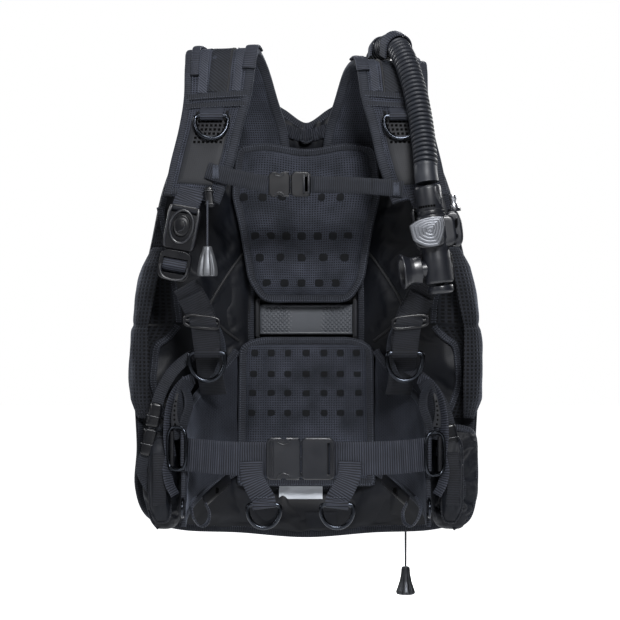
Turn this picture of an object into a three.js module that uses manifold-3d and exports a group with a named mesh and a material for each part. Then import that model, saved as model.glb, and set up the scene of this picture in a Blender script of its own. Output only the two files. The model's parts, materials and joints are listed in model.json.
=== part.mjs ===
// A buoyancy compensator vest in millimetres: +Z up, +Y towards the diver's tank, -Y towards the chest.
// The origin is on the tank-side face of the back plate's land, level with the plate insert.
// "left" and "right" are the wearer's own: left is +X, the side of the inflator hose.
import * as THREE from 'three';
import { mergeVertices } from 'three/addons/utils/BufferGeometryUtils.js';
import Module from 'manifold-3d';

// Overall sizes
const cellWidth = 532; // across the air cell at its widest
const cellTop = 312; // top edge of the air cell at the neck
const cellBottom = -346; // hem
const backFlat = 100; // half width of the flat part of the back
const backCurve = 150; // radius that wraps the sides forward
const gap = 0.4; // between pieces that touch

// Air cell
const windowHalfWidth = 84; // opening around the back plate
const windowTop = 258;
const windowBottom = -262;
const cellPlane = -12; // depth of the seam plane at the middle
const cellPlump = 0.14; // half thickness as a share of the ring's breadth
const shoulderPlump = 0.45; // how much thinner the cell is behind the shoulders
const panelThick = 2;

// Hard back
const plateWidth = 160;
const plateTop = 252;
const plateBottom = -240;
const plateThick = 4.5;
const landWidth = 40;
const landHeight = 120;
const landRise = 1.5;
const insertWidth = 148;
const insertHeight = 49;
const insertDepth = 13;
const railWidth = 5;

// Pads
const padBack = -37; // rear face of both pads
const padThick = 19;
const padEdge = 5; // thickness at the bound edge
const lumbarTop = -29;
const lumbarBottom = -262;
const lumbarHalfWidth = 105;

// Straps and webbing
const strapThick = 9;
const shoulderWebWidth = 40;
const chestWebWidth = 25;
const beltWidth = 50;
const webThick = 2.2;
const chestFront = -196; // depth of the chest webbing at the straps
const beltBow = 32; // how far the belt's middle stands before its ends
const ringWire = 5.5;

// Pockets
const pocketWidth = 72;
const pocketTop = -160;
const pocketBottom = -322;
const pocketDepth = 52;
const pouchThick = 32;
const pouchWall = 9;
const pouchStandOut = 38;

// Tank band
const tankRadius = 92;
const bandWidth = 50;
const bandThick = 2.6;
const bandHeight = 100; // level of the band's middle

// Hose, inflator and valves
const hoseRadius = 18;
const tubeRadius = 21;
const cuffRadius = 20;
const valveRadius = 28;
const cordRadius = 1.5;
const knobRadius = 16;
const knobLength = 45;
const buttonTravel = 2.5;

const halfWidth = cellWidth / 2;
const sides = [['right', -1], ['left', 1]];
const wasm = await Module();
wasm.setup();

const nylon = new THREE.MeshStandardMaterial({ color: 0x161a24, roughness: 0.75, metalness: 0 });
const padding = new THREE.MeshStandardMaterial({ color: 0x20232c, roughness: 0.95, metalness: 0 });
const webbing = new THREE.MeshStandardMaterial({ color: 0x2b2d35, roughness: 0.85, metalness: 0 });
const moulding = new THREE.MeshStandardMaterial({ color: 0x15161a, roughness: 0.4, metalness: 0 });
const rubber = new THREE.MeshStandardMaterial({ color: 0x1c1d21, roughness: 0.6, metalness: 0 });
const silver = new THREE.MeshStandardMaterial({ color: 0x8d8f92, roughness: 0.35, metalness: 0.8 });
const chrome = new THREE.MeshStandardMaterial({ color: 0xd0d2d6, roughness: 0.1, metalness: 1 });
const vest = new THREE.Group();

function add(name, geometry, material, parent = vest) {
  const mesh = new THREE.Mesh(geometry, material);
  mesh.name = name;
  parent.add(mesh);
  return mesh;
}

// Keeps positions only, shares equal corners, drops empty triangles and turns every face outwards.
function tidy(geometry) {
  const plain = geometry.clone();
  plain.deleteAttribute('normal');
  plain.deleteAttribute('uv');
  const merged = mergeVertices(plain, 1e-4);
  const p = merged.attributes.position;
  const corners = [];
  let volume = 0;
  for (let i = 0; i < merged.index.count; i += 3) {
    const [a, b, c] = [0, 1, 2].map((k) => merged.index.getX(i + k));
    if (a === b || b === c || c === a) continue;
    corners.push(a, b, c);
    const [pa, pb, pc] = [a, b, c].map((k) => new THREE.Vector3().fromBufferAttribute(p, k));
    volume += pa.dot(pb.cross(pc));
  }
  if (volume < 0) {
    for (let i = 0; i < corners.length; i += 3) [corners[i], corners[i + 1]] = [corners[i + 1], corners[i]];
  }
  merged.setIndex(corners);
  return merged;
}

// A closed slab: u and v run over its face and w through its thickness, each from 0 to 1.
function slab(nu, nv, place) {
  const box = new THREE.BoxGeometry(1, 1, 1, nu, nv, 1);
  const p = box.attributes.position;
  for (let i = 0; i < p.count; i++) {
    p.setXYZ(i, ...place(p.getX(i) + 0.5, p.getY(i) + 0.5, p.getZ(i) + 0.5));
  }
  return tidy(box);
}

// A closed ring: u runs round the ring and v round its section, each from 0 to 1.
function hoop(nu, nv, place) {
  const torus = new THREE.TorusGeometry(1, 0.3, nv, nu);
  const p = torus.attributes.position;
  const uv = torus.attributes.uv;
  for (let i = 0; i < p.count; i++) {
    const u = Math.round(uv.getX(i) * nu) % nu;
    const v = Math.round(uv.getY(i) * nv) % nv;
    p.setXYZ(i, ...place(u / nu, v / nv));
  }
  return tidy(torus);
}

function solid(geometry) {
  const g = tidy(geometry);
  const mesh = new wasm.Mesh({
    numProp: 3,
    vertProperties: Float32Array.from(g.attributes.position.array),
    triVerts: Uint32Array.from(g.index.array),
  });
  return new wasm.Manifold(mesh);
}

function surface(manifold) {
  const mesh = manifold.getMesh();
  const geometry = new THREE.BufferGeometry();
  geometry.setAttribute('position', new THREE.BufferAttribute(Float32Array.from(mesh.vertProperties), 3));
  geometry.setIndex(new THREE.BufferAttribute(Uint32Array.from(mesh.triVerts), 1));
  return geometry;
}

function joined(first, ...others) {
  return surface(others.reduce((sum, g) => sum.add(solid(g)), solid(first)));
}

function cut(first, ...others) {
  return surface(others.reduce((rest, g) => rest.subtract(solid(g)), solid(first)));
}

function box(x, y, z, width, depth, height) {
  return new THREE.BoxGeometry(width, depth, height).translate(x, y, z);
}

function roundedOutline(width, height, radius) {
  const [w, h] = [width / 2, height / 2];
  const s = new THREE.Shape();
  s.moveTo(-w + radius, -h);
  s.lineTo(w - radius, -h);
  s.absarc(w - radius, -h + radius, radius, -Math.PI / 2, 0);
  s.lineTo(w, h - radius);
  s.absarc(w - radius, h - radius, radius, 0, Math.PI / 2);
  s.lineTo(-w + radius, h);
  s.absarc(-w + radius, h - radius, radius, Math.PI / 2, Math.PI);
  s.lineTo(-w, -h + radius);
  s.absarc(-w + radius, -h + radius, radius, Math.PI, 1.5 * Math.PI);
  return s;
}

// Extrudes an outline drawn in X and Z from the depth yFront back to yBack.
function plateOf(outline, yFront, yBack, bevel = 0, steps = 3) {
  const g = new THREE.ExtrudeGeometry(outline, {
    depth: yBack - yFront - 2 * bevel,
    bevelEnabled: bevel > 0,
    bevelThickness: bevel,
    bevelSize: bevel,
    bevelOffset: -bevel,
    bevelSegments: 1,
    curveSegments: steps,
  });
  return g.rotateX(Math.PI / 2).translate(0, yBack - bevel, 0);
}

// A tube or bar of round section along a list of points.
function cable(points, radius, steps, sections) {
  const ring = new THREE.Shape();
  ring.absarc(0, 0, radius, 0, 2 * Math.PI);
  const path = new THREE.CatmullRomCurve3(points.map((p) => new THREE.Vector3(...p)));
  return new THREE.ExtrudeGeometry(ring, { steps, extrudePath: path, curveSegments: sections });
}

function lathe(profile, segments) {
  return new THREE.LatheGeometry(profile.map(([r, h]) => new THREE.Vector2(r, h)), segments);
}

// A flat strap along a path: centre(u), the way its width runs, its width and its thickness.
function strap(points, acrossAt, width, thickness, steps) {
  const path = new THREE.CatmullRomCurve3(points.map((p) => new THREE.Vector3(...p)));
  return slab(steps, 1, (u, v, w) => {
    const along = path.getTangentAt(u);
    const across = acrossAt(u).normalize();
    const out = new THREE.Vector3().crossVectors(along, across).normalize();
    const at = path.getPointAt(u);
    at.addScaledVector(across, (v - 0.5) * width).addScaledVector(out, (w - 0.5) * thickness);
    return at.toArray();
  });
}

// Linear steps between [place, value] pairs.
function between(pairs, at) {
  const next = pairs.findIndex(([place]) => place >= at);
  if (next <= 0) return next < 0 ? pairs[pairs.length - 1][1] : pairs[0][1];
  const [[a, va], [b, vb]] = [pairs[next - 1], pairs[next]];
  return THREE.MathUtils.lerp(va, vb, (at - a) / (b - a));
}

// ---- Air cell: a ring bag around the back plate, thick at the sides and wrapped forward ----

const cellSteps = 32;
const cellHeight = cellTop - cellBottom;
// Half outline from the neck to the hem, as shares of the half width and of the height above the hem.
const cellEdge = [
  [0, 1], [0.15, 1.035], [0.3, 1.068], [0.46, 1.06], [0.62, 1.005], [0.75, 0.928], [0.842, 0.833],
  [0.906, 0.708], [0.959, 0.602], [1, 0.501], [0.996, 0.343], [0.982, 0.222], [0.99, 0.128],
  [0.925, 0.058], [0.737, 0.023], [0.376, 0.011], [0, 0],
];
const mirrored = cellEdge.slice(1, -1).reverse().map(([x, z]) => [-x, z]);
const edgePoints = [...cellEdge, ...mirrored].map(([x, z]) => (
  new THREE.Vector3(x * halfWidth, 0, cellBottom + z * cellHeight)));
const edgeCurve = new THREE.CatmullRomCurve3(edgePoints, true);

function bend(x) {
  const past = Math.max(0, Math.abs(x) - backFlat);
  return -(past * past) / (2 * backCurve);
}

// One place round the ring: its outer edge, its inner edge and the bag's half thickness between them.
const cellStations = Array.from({ length: cellSteps }, (_, i) => {
  const outer = edgeCurve.getPointAt(i / cellSteps);
  const middle = (windowTop + windowBottom) / 2;
  const angle = Math.atan2((outer.z - middle) / (windowTop - middle), outer.x / windowHalfWidth);
  const [c, s] = [Math.cos(angle), Math.sin(angle)];
  const squared = 1 / Math.pow(Math.pow(Math.abs(c), 8) + Math.pow(Math.abs(s), 8), 1 / 8);
  const inner = { x: windowHalfWidth * c * squared, z: middle + (windowTop - middle) * s * squared };
  const breadth = Math.hypot(outer.x - inner.x, outer.z - inner.z);
  const ease = THREE.MathUtils.smoothstep((outer.z + inner.z) / 2, 120, 250);
  return { outer, inner, half: cellPlump * breadth * THREE.MathUtils.lerp(1, shoulderPlump, ease) };
});

function cellPoint(station, t) {
  const x = THREE.MathUtils.lerp(station.inner.x, station.outer.x, t);
  const z = THREE.MathUtils.lerp(station.inner.z, station.outer.z, t);
  return { x, z, y: cellPlane + bend(x), half: station.half * Math.pow(Math.sin(Math.PI * t), 0.8) };
}

// The bag's seam depth and half thickness at a place seen from the front.
function cellAt(x, z) {
  let best = { miss: Infinity };
  for (const station of cellStations) {
    for (let t = 0; t <= 1; t += 0.05) {
      const p = cellPoint(station, t);
      const miss = Math.hypot(p.x - x, p.z - z);
      if (miss < best.miss) best = { ...p, miss };
    }
  }
  return best;
}

function cellFrontAt(x, z) {
  const p = cellAt(x, z);
  return cellPlane + bend(x) - p.half - panelThick - 1;
}

// The rearmost point of the bag under a round base.
function cellRearUnder(x, z, radius) {
  let rear = -Infinity;
  for (let angle = 0; angle < 2 * Math.PI; angle += Math.PI / 6) {
    for (const reach of [0, 0.5, 1]) {
      const p = cellAt(x + reach * radius * Math.cos(angle), z + reach * radius * Math.sin(angle));
      rear = Math.max(rear, p.y + p.half + panelThick + 1);
    }
  }
  return rear;
}

function cellPanel(direction) {
  const across = 3;
  return hoop(cellSteps, 2 * (across + 1), (u, v) => {
    const k = Math.round(v * 2 * (across + 1));
    const outside = k > across;
    const p = cellPoint(cellStations[Math.round(u * cellSteps)], (outside ? 2 * across + 1 - k : k) / across);
    const lift = p.half + gap + (outside ? panelThick : 0);
    return [p.x, p.y + direction * lift, p.z];
  });
}

function airCell() {
  add('air_cell_front', cellPanel(-1), nylon);
  add('air_cell_rear', cellPanel(1), nylon);
  const across = 6;
  add('air_bladder', hoop(cellSteps, across, (u, v) => {
    const angle = 2 * Math.PI * v;
    const share = (1 - Math.cos(angle)) / 2;
    const p = cellPoint(cellStations[Math.round(u * cellSteps)], 0.12 + 0.76 * share);
    return [p.x, p.y - 0.62 * p.half * Math.sin(angle), p.z];
  }), rubber);
}

// ---- Hard back: plate with its land, ribs and band slots, and the insert between its rails ----

const plateBack = -landRise;
const plateFront = plateBack - plateThick;
const slotX = 64;
const slotWidth = 11;
const spareSlotHeight = -130; // slots for a second band

function hardBack() {
  const outline = roundedOutline(plateWidth, plateTop - plateBottom, 30);
  const middle = (plateTop + plateBottom) / 2;
  const body = plateOf(outline, plateFront, plateBack, 1, 3).translate(0, 0, middle);
  const land = box(0, -landRise, 0, landWidth, 2 * landRise, landHeight);
  const ribHeight = tankRadius - Math.sqrt(tankRadius ** 2 - 44 ** 2) - 1;
  const ribs = [-42, 42].map((x) => box(x, ribHeight / 2 - landRise, 0, 4, ribHeight + landRise, 360));
  const railHeight = insertHeight + 12;
  const railDepth = insertDepth + 4;
  const rails = [-1, 1].map((side) => box(side * (insertWidth + 2 * gap + railWidth) / 2,
    plateFront - railDepth / 2 + 1, 2, railWidth, railDepth + 2, railHeight));
  const slots = [];
  for (const z of [bandHeight, spareSlotHeight]) {
    for (const side of [-1, 1]) slots.push(box(side * slotX, plateFront, z, slotWidth, 30, bandWidth + 6));
  }
  const holes = [198, -202].map((z) => (
    plateOf(roundedOutline(20, 34, 9.9), -30, 20, 0, 2).translate(0, 0, z)));
  const whole = joined(body, land, ...ribs, ...rails);
  add('back_plate', cut(whole, ...slots, ...holes), moulding);
  const insert = plateOf(roundedOutline(insertWidth, insertHeight, 4), plateFront - gap - insertDepth,
    plateFront - gap, 1.5, 2);
  add('plate_insert', insert, rubber);
}

// ---- Pads that face the wearer ----

// A crowned pad: half width by height, top edge by share across, with a thin bound rim.
function pad(bottom, halfWidthAt, topAt, steps) {
  return slab(steps, steps, (u, v, w) => {
    const s = 2 * u - 1;
    const z = THREE.MathUtils.lerp(bottom, topAt(s), v);
    const rim = (1 - s ** 6) * (1 - (2 * v - 1) ** 6);
    const thick = padEdge + (padThick - padEdge) * Math.sqrt(Math.max(0, rim));
    return [s * halfWidthAt(z), padBack - w * thick, z];
  });
}

const backPadShape = [[28, 62], [36, 73], [64, 91], [144, 104], [196, 116], [252, 111], [280, 104]];
const lumbarShape = [
  [lumbarBottom, lumbarHalfWidth + 3], [lumbarTop - 12, lumbarHalfWidth], [lumbarTop, lumbarHalfWidth - 38],
];

function pads() {
  add('back_pad', pad(28, (z) => between(backPadShape, z), (s) => 268 + 9 * Math.sin(2.45 * s) ** 2, 7), padding);
  add('lumbar_pad', pad(lumbarBottom, (z) => between(lumbarShape, z), () => lumbarTop, 7), padding);
}

// ---- Waist wings that carry the belt round to the front, with small rings on their front ends ----

const pocketInner = halfWidth - pocketWidth - 2;
const wingEndX = pocketInner - 8;
const wingFront = -200;
const cornerRingWidth = 27;
const cornerRingHeight = 22;
const cornerRingWire = 4;
const cornerRingZ = -281;

function wings() {
  for (const [name, side] of sides) {
    const start = lumbarHalfWidth + 5;
    const plan = new THREE.CatmullRomCurve3([
      [start, padBack - 6], [start + 0.42 * (wingEndX - start), -70], [start + 0.78 * (wingEndX - start), -112],
      [wingEndX - 3, -158], [wingEndX, wingFront],
    ].map(([x, y]) => new THREE.Vector3(x, y, 0)));
    const shape = slab(8, 3, (u, v, w) => {
      const at = plan.getPointAt(u);
      const along = plan.getTangentAt(u);
      const top = THREE.MathUtils.lerp(lumbarTop - 16, -158, Math.pow(u, 0.75));
      const bottom = THREE.MathUtils.lerp(-244, -312, u);
      const thick = 4 + 4 * Math.sin(Math.PI * v);
      const reach = (w - 0.5) * thick;
      return [side * (at.x + along.y * reach), at.y - along.x * reach, THREE.MathUtils.lerp(bottom, top, v)];
    });
    const at = [side * wingEndX, wingFront - 7, cornerRingZ];
    const loop = ringLoop(cornerRingWidth - 12, 13, 11, cornerRingWire).rotateY(Math.PI / 2).translate(...at);
    add(`cummerbund_${name}`, joined(shape, loop), padding);
    const ring = dRing(cornerRingWidth, cornerRingHeight, cornerRingWire).rotateX(-Math.PI / 2);
    add(`corner_d_ring_${name}`, ring.rotateY(Math.PI / 2), moulding).position.set(...at);
  }
}

// ---- Side gussets, cargo pockets and the weight pouches in their sleeves ----

function gussets() {
  for (const [name, side] of sides) {
    const shape = slab(8, 4, (u, v, w) => {
      const z = THREE.MathUtils.lerp(pocketTop + 8, 112, u);
      const edge = edgeHalfWidthAt(z);
      const turn = THREE.MathUtils.lerp(-0.5, 1.25, v) * Math.PI / 2;
      const depth = cellPlane + bend(edge);
      const reach = 5 + 3 * w;
      const x = edge - 12 + (12 + reach) * Math.cos(turn) - 14 * Math.max(0, v - 0.6);
      return [side * x, depth - 8 - (14 + reach) * Math.sin(turn) - 26 * Math.max(0, v - 0.3), z];
    });
    add(`side_gusset_${name}`, shape, padding);
  }
}

// The air cell's half width at a height on its side.
function edgeHalfWidthAt(z) {
  const share = (z - cellBottom) / cellHeight;
  const flank = cellEdge.slice(5, 14).map(([x, h]) => [h, x * halfWidth]).reverse();
  return between(flank, share);
}

function pocketRear(x, z) {
  return cellFrontAt(x, z) - 5;
}

function pockets() {
  for (const [name, side] of sides) {
    const outer = halfWidth - 3;
    const middle = (pocketTop + pocketBottom) / 2;
    const front = Math.min(pocketRear(pocketInner, middle), pocketRear(outer, middle)) - pocketDepth;
    const bag = slab(4, 6, (u, v, w) => {
      const squeeze = 1 - 0.12 * (2 * v - 1) ** 4;
      const x = THREE.MathUtils.lerp(pocketInner, pocketInner + (outer - pocketInner) * squeeze, u);
      const z = THREE.MathUtils.lerp(pocketBottom, pocketTop, v);
      const round = 14 * (2 * v - 1) ** 4 + 10 * (2 * u - 1) ** 4;
      return [side * x, THREE.MathUtils.lerp(pocketRear(x, z), front + round, w), z];
    });
    const pouchX = pocketInner + 12 + pouchThick / 2;
    const pouchHeight = pocketTop - pocketBottom - 2 * pouchWall - 14;
    const pouchRear = Math.min(pocketRear(pouchX - 16, middle), pocketRear(pouchX + 16, middle)) - 16;
    const sleeve = box(side * pouchX, pouchRear - 100, middle, pouchThick + 1.2, 200, pouchHeight + 1.2);
    add(`pocket_${name}`, cut(bag, sleeve), nylon);
    const length = pouchRear - 0.6 - (front - pouchStandOut);
    const outline = roundedOutline(length, pouchHeight, 10);
    const pouch = new THREE.ExtrudeGeometry(outline, {
      depth: pouchThick - 6, bevelThickness: 3, bevelSize: 3, bevelOffset: -3, bevelSegments: 1, curveSegments: 3,
    });
    pouch.translate(0, 0, -(pouchThick - 6) / 2).rotateX(Math.PI / 2).rotateZ(Math.PI / 2);
    pouch.translate(side * pouchX, front - pouchStandOut + length / 2, middle);
    add(`weight_pouch_${name}`, tidy(pouch), nylon);
  }
}

// ---- Shoulder straps, with the folded loops that hold their rings ----

// Inner and outer edge of a strap from the yoke over the shoulder to its lower end.
const strapInner = [
  [26, -30, 245], [34, -30, 300], [48, -45, 345], [62, -68, 392], [75, -97, 416], [80, -126, 392],
  [86, -150, 343], [100, -170, 288], [112, -185, 234], [133, -195, 176],
];
const strapOuter = [
  [118, -32, 245], [122, -32, 300], [130, -47, 348], [152, -70, 394], [181, -97, 413], [184, -126, 388],
  [184, -150, 336], [190, -170, 288], [202, -185, 234], [210, -195, 188],
];
const hoseDip = 17; // how far the hose presses the left strap down at the crest

// A round-cornered D: a straight bar along X with the bow hanging below it.
function dPath(width, height) {
  const [w, c] = [width / 2, 6];
  const path = new THREE.Path();
  path.moveTo(0, 0);
  path.lineTo(w - c, 0);
  path.quadraticCurveTo(w, 0, w, -c);
  path.bezierCurveTo(w, -0.62 * height, 0.62 * w, -height, 0, -height);
  path.bezierCurveTo(-0.62 * w, -height, -w, -0.62 * height, -w, -c);
  path.quadraticCurveTo(-w, 0, -w + c, 0);
  path.lineTo(0, 0);
  return path;
}

function dRing(width, height, wire = ringWire) {
  const steps = 15;
  const points = dPath(width, height).getSpacedPoints(steps);
  return hoop(steps, 5, (u, v) => {
    const i = Math.round(u * steps);
    const [before, after] = [points[(i + steps - 1) % steps], points[(i + 1) % steps]];
    const along = after.clone().sub(before).normalize();
    const angle = 2 * Math.PI * v;
    const reach = wire / 2 * Math.cos(angle);
    return [points[i].x - along.y * reach, wire / 2 * Math.sin(angle), points[i].y + along.x * reach];
  });
}

// A folded webbing loop round a ring's bar: a block with a round channel along X.
function ringLoop(width, reach, height, wire = ringWire) {
  const block = box(0, reach / 2 - wire / 2 - webThick, height / 2 - wire / 2 - webThick, width,
    reach, height);
  const channel = new THREE.CylinderGeometry(wire / 2 + gap, wire / 2 + gap, width + 10, 8);
  return cut(block, channel.rotateZ(Math.PI / 2));
}

const chestRingWidth = 50;
const chestRingHeight = 36;
const chestRingAt = [143, -178.5, 308]; // middle of the bar, right side mirrored
const chestRingTilt = 0.26; // the strap's slope at the ring

function shoulders() {
  for (const [name, side] of sides) {
    const dip = side > 0 ? hoseDip : 0;
    const [inner, outer] = [strapInner, strapOuter].map((edge) => (
      new THREE.CatmullRomCurve3(edge.map((p) => new THREE.Vector3(...p)))));
    const shape = slab(18, 2, (u, v, w) => {
      const [a, b] = [inner.getPoint(u), outer.getPoint(u)];
      const [a2, b2] = [inner.getTangent(u), outer.getTangent(u)];
      const at = a.clone().lerp(b, v);
      const along = a2.lerp(b2, v).normalize();
      const across = b.clone().sub(a).normalize();
      const out = new THREE.Vector3().crossVectors(across, along).normalize();
      const thick = THREE.MathUtils.lerp(5, strapThick, THREE.MathUtils.smoothstep(u, 0.15, 0.35));
      at.addScaledVector(out, (w - 0.5) * thick * (v === 0.5 ? 1.15 : 0.85));
      const sink = dip * Math.exp(-(((u - 0.45) / 0.1) ** 2)) * (v === 0.5 ? 1.2 : 1);
      return [side * at.x, at.y, at.z - sink];
    });
    const loop = ringLoop(chestRingWidth - 22, 16, 12).rotateX(-chestRingTilt);
    loop.translate(side * chestRingAt[0], chestRingAt[1], chestRingAt[2]);
    const pieces = [loop];
    if (side < 0) pieces.push(cordGuide());
    add(`shoulder_strap_${name}`, joined(shape, ...pieces), padding);
    const ring = dRing(chestRingWidth, chestRingHeight).rotateX(-chestRingTilt);
    const mesh = add(`chest_d_ring_${name}`, ring, moulding);
    mesh.position.set(side * chestRingAt[0], chestRingAt[1], chestRingAt[2]);
  }
}

// ---- Quick-release shoulder buckles ----

const buckleWidth = 50;
const buckleHeight = 66;
const buckleThick = 12;
const buckleAt = [186, -209.5, 138];
const buckleLean = 0.184;
const tongueWidth = 36;
const tongueThick = 3.8;
const tongueLength = 30;
const plugHeight = 46;
const pushRadius = 12.5;

function shoulderBuckles() {
  for (const [name, side] of sides) {
    const group = new THREE.Group();
    group.position.set(side * buckleAt[0], buckleAt[1], buckleAt[2]);
    group.rotation.y = -side * buckleLean;
    vest.add(group);
    const [front, back] = [-buckleThick / 2, buckleThick / 2];
    const bottom = -buckleHeight / 2;
    const shell = plateOf(roundedOutline(buckleWidth, buckleHeight, 9), front, back, 1.5, 2);
    const mouth = box(0, 1, bottom, tongueWidth + 2 * gap, tongueThick + 2 * gap, 2 * (tongueLength + 3));
    const button = new THREE.CylinderGeometry(pushRadius + gap, pushRadius + gap, buckleThick - 2.4, 14);
    button.translate(0, front, 6);
    const webSlot = box(0, 0, -bottom - 9, shoulderWebWidth + 2, buckleThick + 2, 5);
    add(`shoulder_buckle_${name}`, cut(shell, mouth, button, webSlot), moulding, group);
    const disc = lathe([[0, 0], [pushRadius - 1, 0], [pushRadius, -1], [pushRadius, -3], [0, -3]], 14);
    const push = add(`release_button_${name}`, tidy(disc.rotateX(Math.PI)), moulding, group);
    push.position.set(0, front - 1, 6);
    const frameTop = bottom - 1;
    const frame = plateOf(roundedOutline(buckleWidth - 2, plugHeight, 12), front + 1, back - 1, 1.5, 2);
    frame.translate(0, 0, frameTop - plugHeight / 2);
    const tongue = box(0, 1, frameTop - 2 + tongueLength / 2, tongueWidth, tongueThick, tongueLength + 4);
    const slot = box(0, 0, frameTop - 17, shoulderWebWidth - 3, buckleThick + 2, 9);
    const lowSlot = box(0, 0, frameTop - 31, shoulderWebWidth - 3, buckleThick + 2, 9);
    add(`shoulder_plug_${name}`, cut(joined(frame, tongue), slot, lowSlot), moulding, group);
  }
}

// ---- Lower shoulder webbing with the loop of its ring ----

const flankRingWidth = 54;
const flankRingHeight = 42;
const flankRingAt = [149, -178, -50];
const lowerWebPath = [
  [181, -201, 52], [170, -196, 34], [158, -190, 10], [150, -184, -18], [148, -176, -42], [147, -160, -70],
  [145, -138, -96], [142, -116, -115],
];

function lowerWebbing() {
  for (const [name, side] of sides) {
    const across = () => new THREE.Vector3(side, 0, side * 0.05);
    const points = lowerWebPath.map(([x, y, z]) => [side * x, y, z]);
    const web = strap(points, across, shoulderWebWidth, webThick, 14);
    const loop = ringLoop(flankRingWidth - 24, 14, 12);
    loop.translate(side * flankRingAt[0], flankRingAt[1] - 7, flankRingAt[2]);
    add(`lower_webbing_${name}`, joined(web, loop), webbing);
    const ring = add(`lower_d_ring_${name}`, dRing(flankRingWidth, flankRingHeight), moulding);
    ring.position.set(side * flankRingAt[0], flankRingAt[1] - 7, flankRingAt[2]);
  }
}

// ---- Chest strap and its side-release buckle ----

const chestLevel = 203;
const chestBuckleX = -24;
const chestBuckleHalf = 32;
const chestMiddle = -208;

function chestStrap() {
  const up = () => new THREE.Vector3(0.1, 0, 1);
  const rightEnd = chestBuckleX - chestBuckleHalf - 2;
  const right = strap([[-143, chestFront - 5, 221], [-110, chestFront - 8, 214], [-80, chestMiddle, 207],
    [rightEnd, chestMiddle, chestLevel]], up, chestWebWidth, webThick, 6);
  add('chest_webbing_right', right, webbing);
  const slotEnd = chestBuckleX + chestBuckleHalf - 8;
  const left = strap([[slotEnd, chestMiddle, chestLevel], [60, chestMiddle, chestLevel - 1],
    [100, chestFront - 8, chestLevel - 3], [142, chestFront - 5, chestLevel - 6]],
  () => new THREE.Vector3(0, 0, 1), chestWebWidth, webThick, 6);
  add('chest_webbing_left', left, webbing);
  sideRelease('chest_buckle', chestBuckleX, chestMiddle, chestLevel, 2 * chestBuckleHalf, 37, 10, chestWebWidth);
}

// A side-release buckle along X: the socket takes two prongs from the plug, whose tail carries webbing.
function sideRelease(name, x, y, z, length, height, thick, webWidth) {
  const half = length / 2;
  const socket = plateOf(roundedOutline(half, height, 7), -thick / 2, thick / 2, 1.5, 2);
  socket.translate(-half / 2, 0, 0);
  const prongLength = 0.42 * length;
  const prongZ = height / 2 - 7;
  const prongThick = 0.42 * thick;
  const mouth = box(0, 0, 0, 2 * prongLength + 1, prongThick + 2 * gap, 2 * prongZ + 6 + 2 * gap);
  const thumbs = [-1, 1].map((side) => (
    new THREE.CylinderGeometry(5, 5, thick + 4, 8).translate(-half / 2, 0, side * (height / 2 + 2))));
  const holder = new THREE.Group();
  holder.position.set(x, y, z);
  vest.add(holder);
  add(`${name}_socket`, cut(socket, mouth, ...thumbs), moulding, holder);
  const tail = plateOf(roundedOutline(half - 2, height, 7), -thick / 2, thick / 2, 1.5, 2);
  tail.translate(half / 2 + 0.5, 0, 0);
  const prongs = [-1, 1].map((side) => (
    box(-prongLength / 2 + 2, 0, side * (prongZ - 0.5), prongLength + 4, prongThick, 6)));
  const guide = box(-prongLength / 2 + 5, 0, 0, prongLength - 4, prongThick, 5);
  const channel = box(half, 0, 0, 22, webThick + 1.6, webWidth + 1.5);
  const windowCut = box(half - 8, -thick / 2, 0, 5, thick, webWidth - 3);
  add(`${name}_plug`, cut(joined(tail, ...prongs, guide), channel, windowCut), moulding, holder);
}

// ---- Waist belt, its buckle and the hanging tails with their rings ----

const beltLevel = -205;
const beltEndY = wingFront - 9;
const beltMiddle = beltEndY - beltBow;
const waistBuckleX = -8;
const waistBuckleHalf = 50;
const tailRingWidth = 48;
const tailRingHeight = 34;
const tailWidth = 34;
const tailTop = beltLevel - beltWidth / 2 + 8;
const tailBottom = -272;
const tailX = { right: -62, left: 46 };
const tailLean = 19;

function waistBelt() {
  const up = () => new THREE.Vector3(0, 0, 1);
  for (const [name, side] of sides) {
    const slotDepth = side > 0 ? 9 : -gap;
    const inner = waistBuckleX + side * (waistBuckleHalf - slotDepth);
    const flat = side * (Math.abs(inner) + 42);
    const belt = strap([[inner, beltMiddle, beltLevel], [flat, beltMiddle, beltLevel],
      [side * 0.72 * wingEndX, beltMiddle + 0.35 * beltBow, beltLevel + 1],
      [side * (wingEndX - 2), beltEndY, beltLevel + 4]], up, beltWidth, webThick, 9);
    const x = tailX[name];
    const y = beltMiddle - 14;
    const tail = strap([[x + side * tailLean, beltMiddle - webThick / 2 + 0.4, tailTop + 6],
      [x + side * tailLean * 0.9, y + 7, tailTop - 10], [x + side * tailLean * 0.45, y, tailTop - 26],
      [x, y, tailBottom + 4]], () => new THREE.Vector3(1, 0, 0), tailWidth, webThick, 5);
    const loop = ringLoop(tailRingWidth - 20, 11, 12).translate(x, y, tailBottom);
    add(`waist_belt_${name}`, joined(belt, tail, loop), webbing);
    const ring = add(`belt_d_ring_${name}`, dRing(tailRingWidth, tailRingHeight), moulding);
    ring.position.set(x, y, tailBottom);
  }
  sideRelease('waist_buckle', waistBuckleX, beltMiddle, beltLevel, 2 * waistBuckleHalf, 62, 13, beltWidth);
}

// ---- Grab handle and tank band with its cam buckle ----

function grabHandle() {
  const across = () => new THREE.Vector3(0, 0, 1);
  const level = windowTop + 14;
  const root = cellRearUnder(52, level, 14) + 4;
  add('grab_handle', strap([[-60, root, level], [-48, root + 2, level], [-30, root + 24, level], [0, root + 30, level],
    [30, root + 24, level], [48, root + 2, level], [60, root, level]], across, 25, 4, 14), webbing);
}

const bandMiddle = tankRadius + bandThick / 2 + 1;
const camRear = tankRadius + bandMiddle + bandThick / 2;
const camWidth = 62;
const leverLength = 52;

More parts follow.
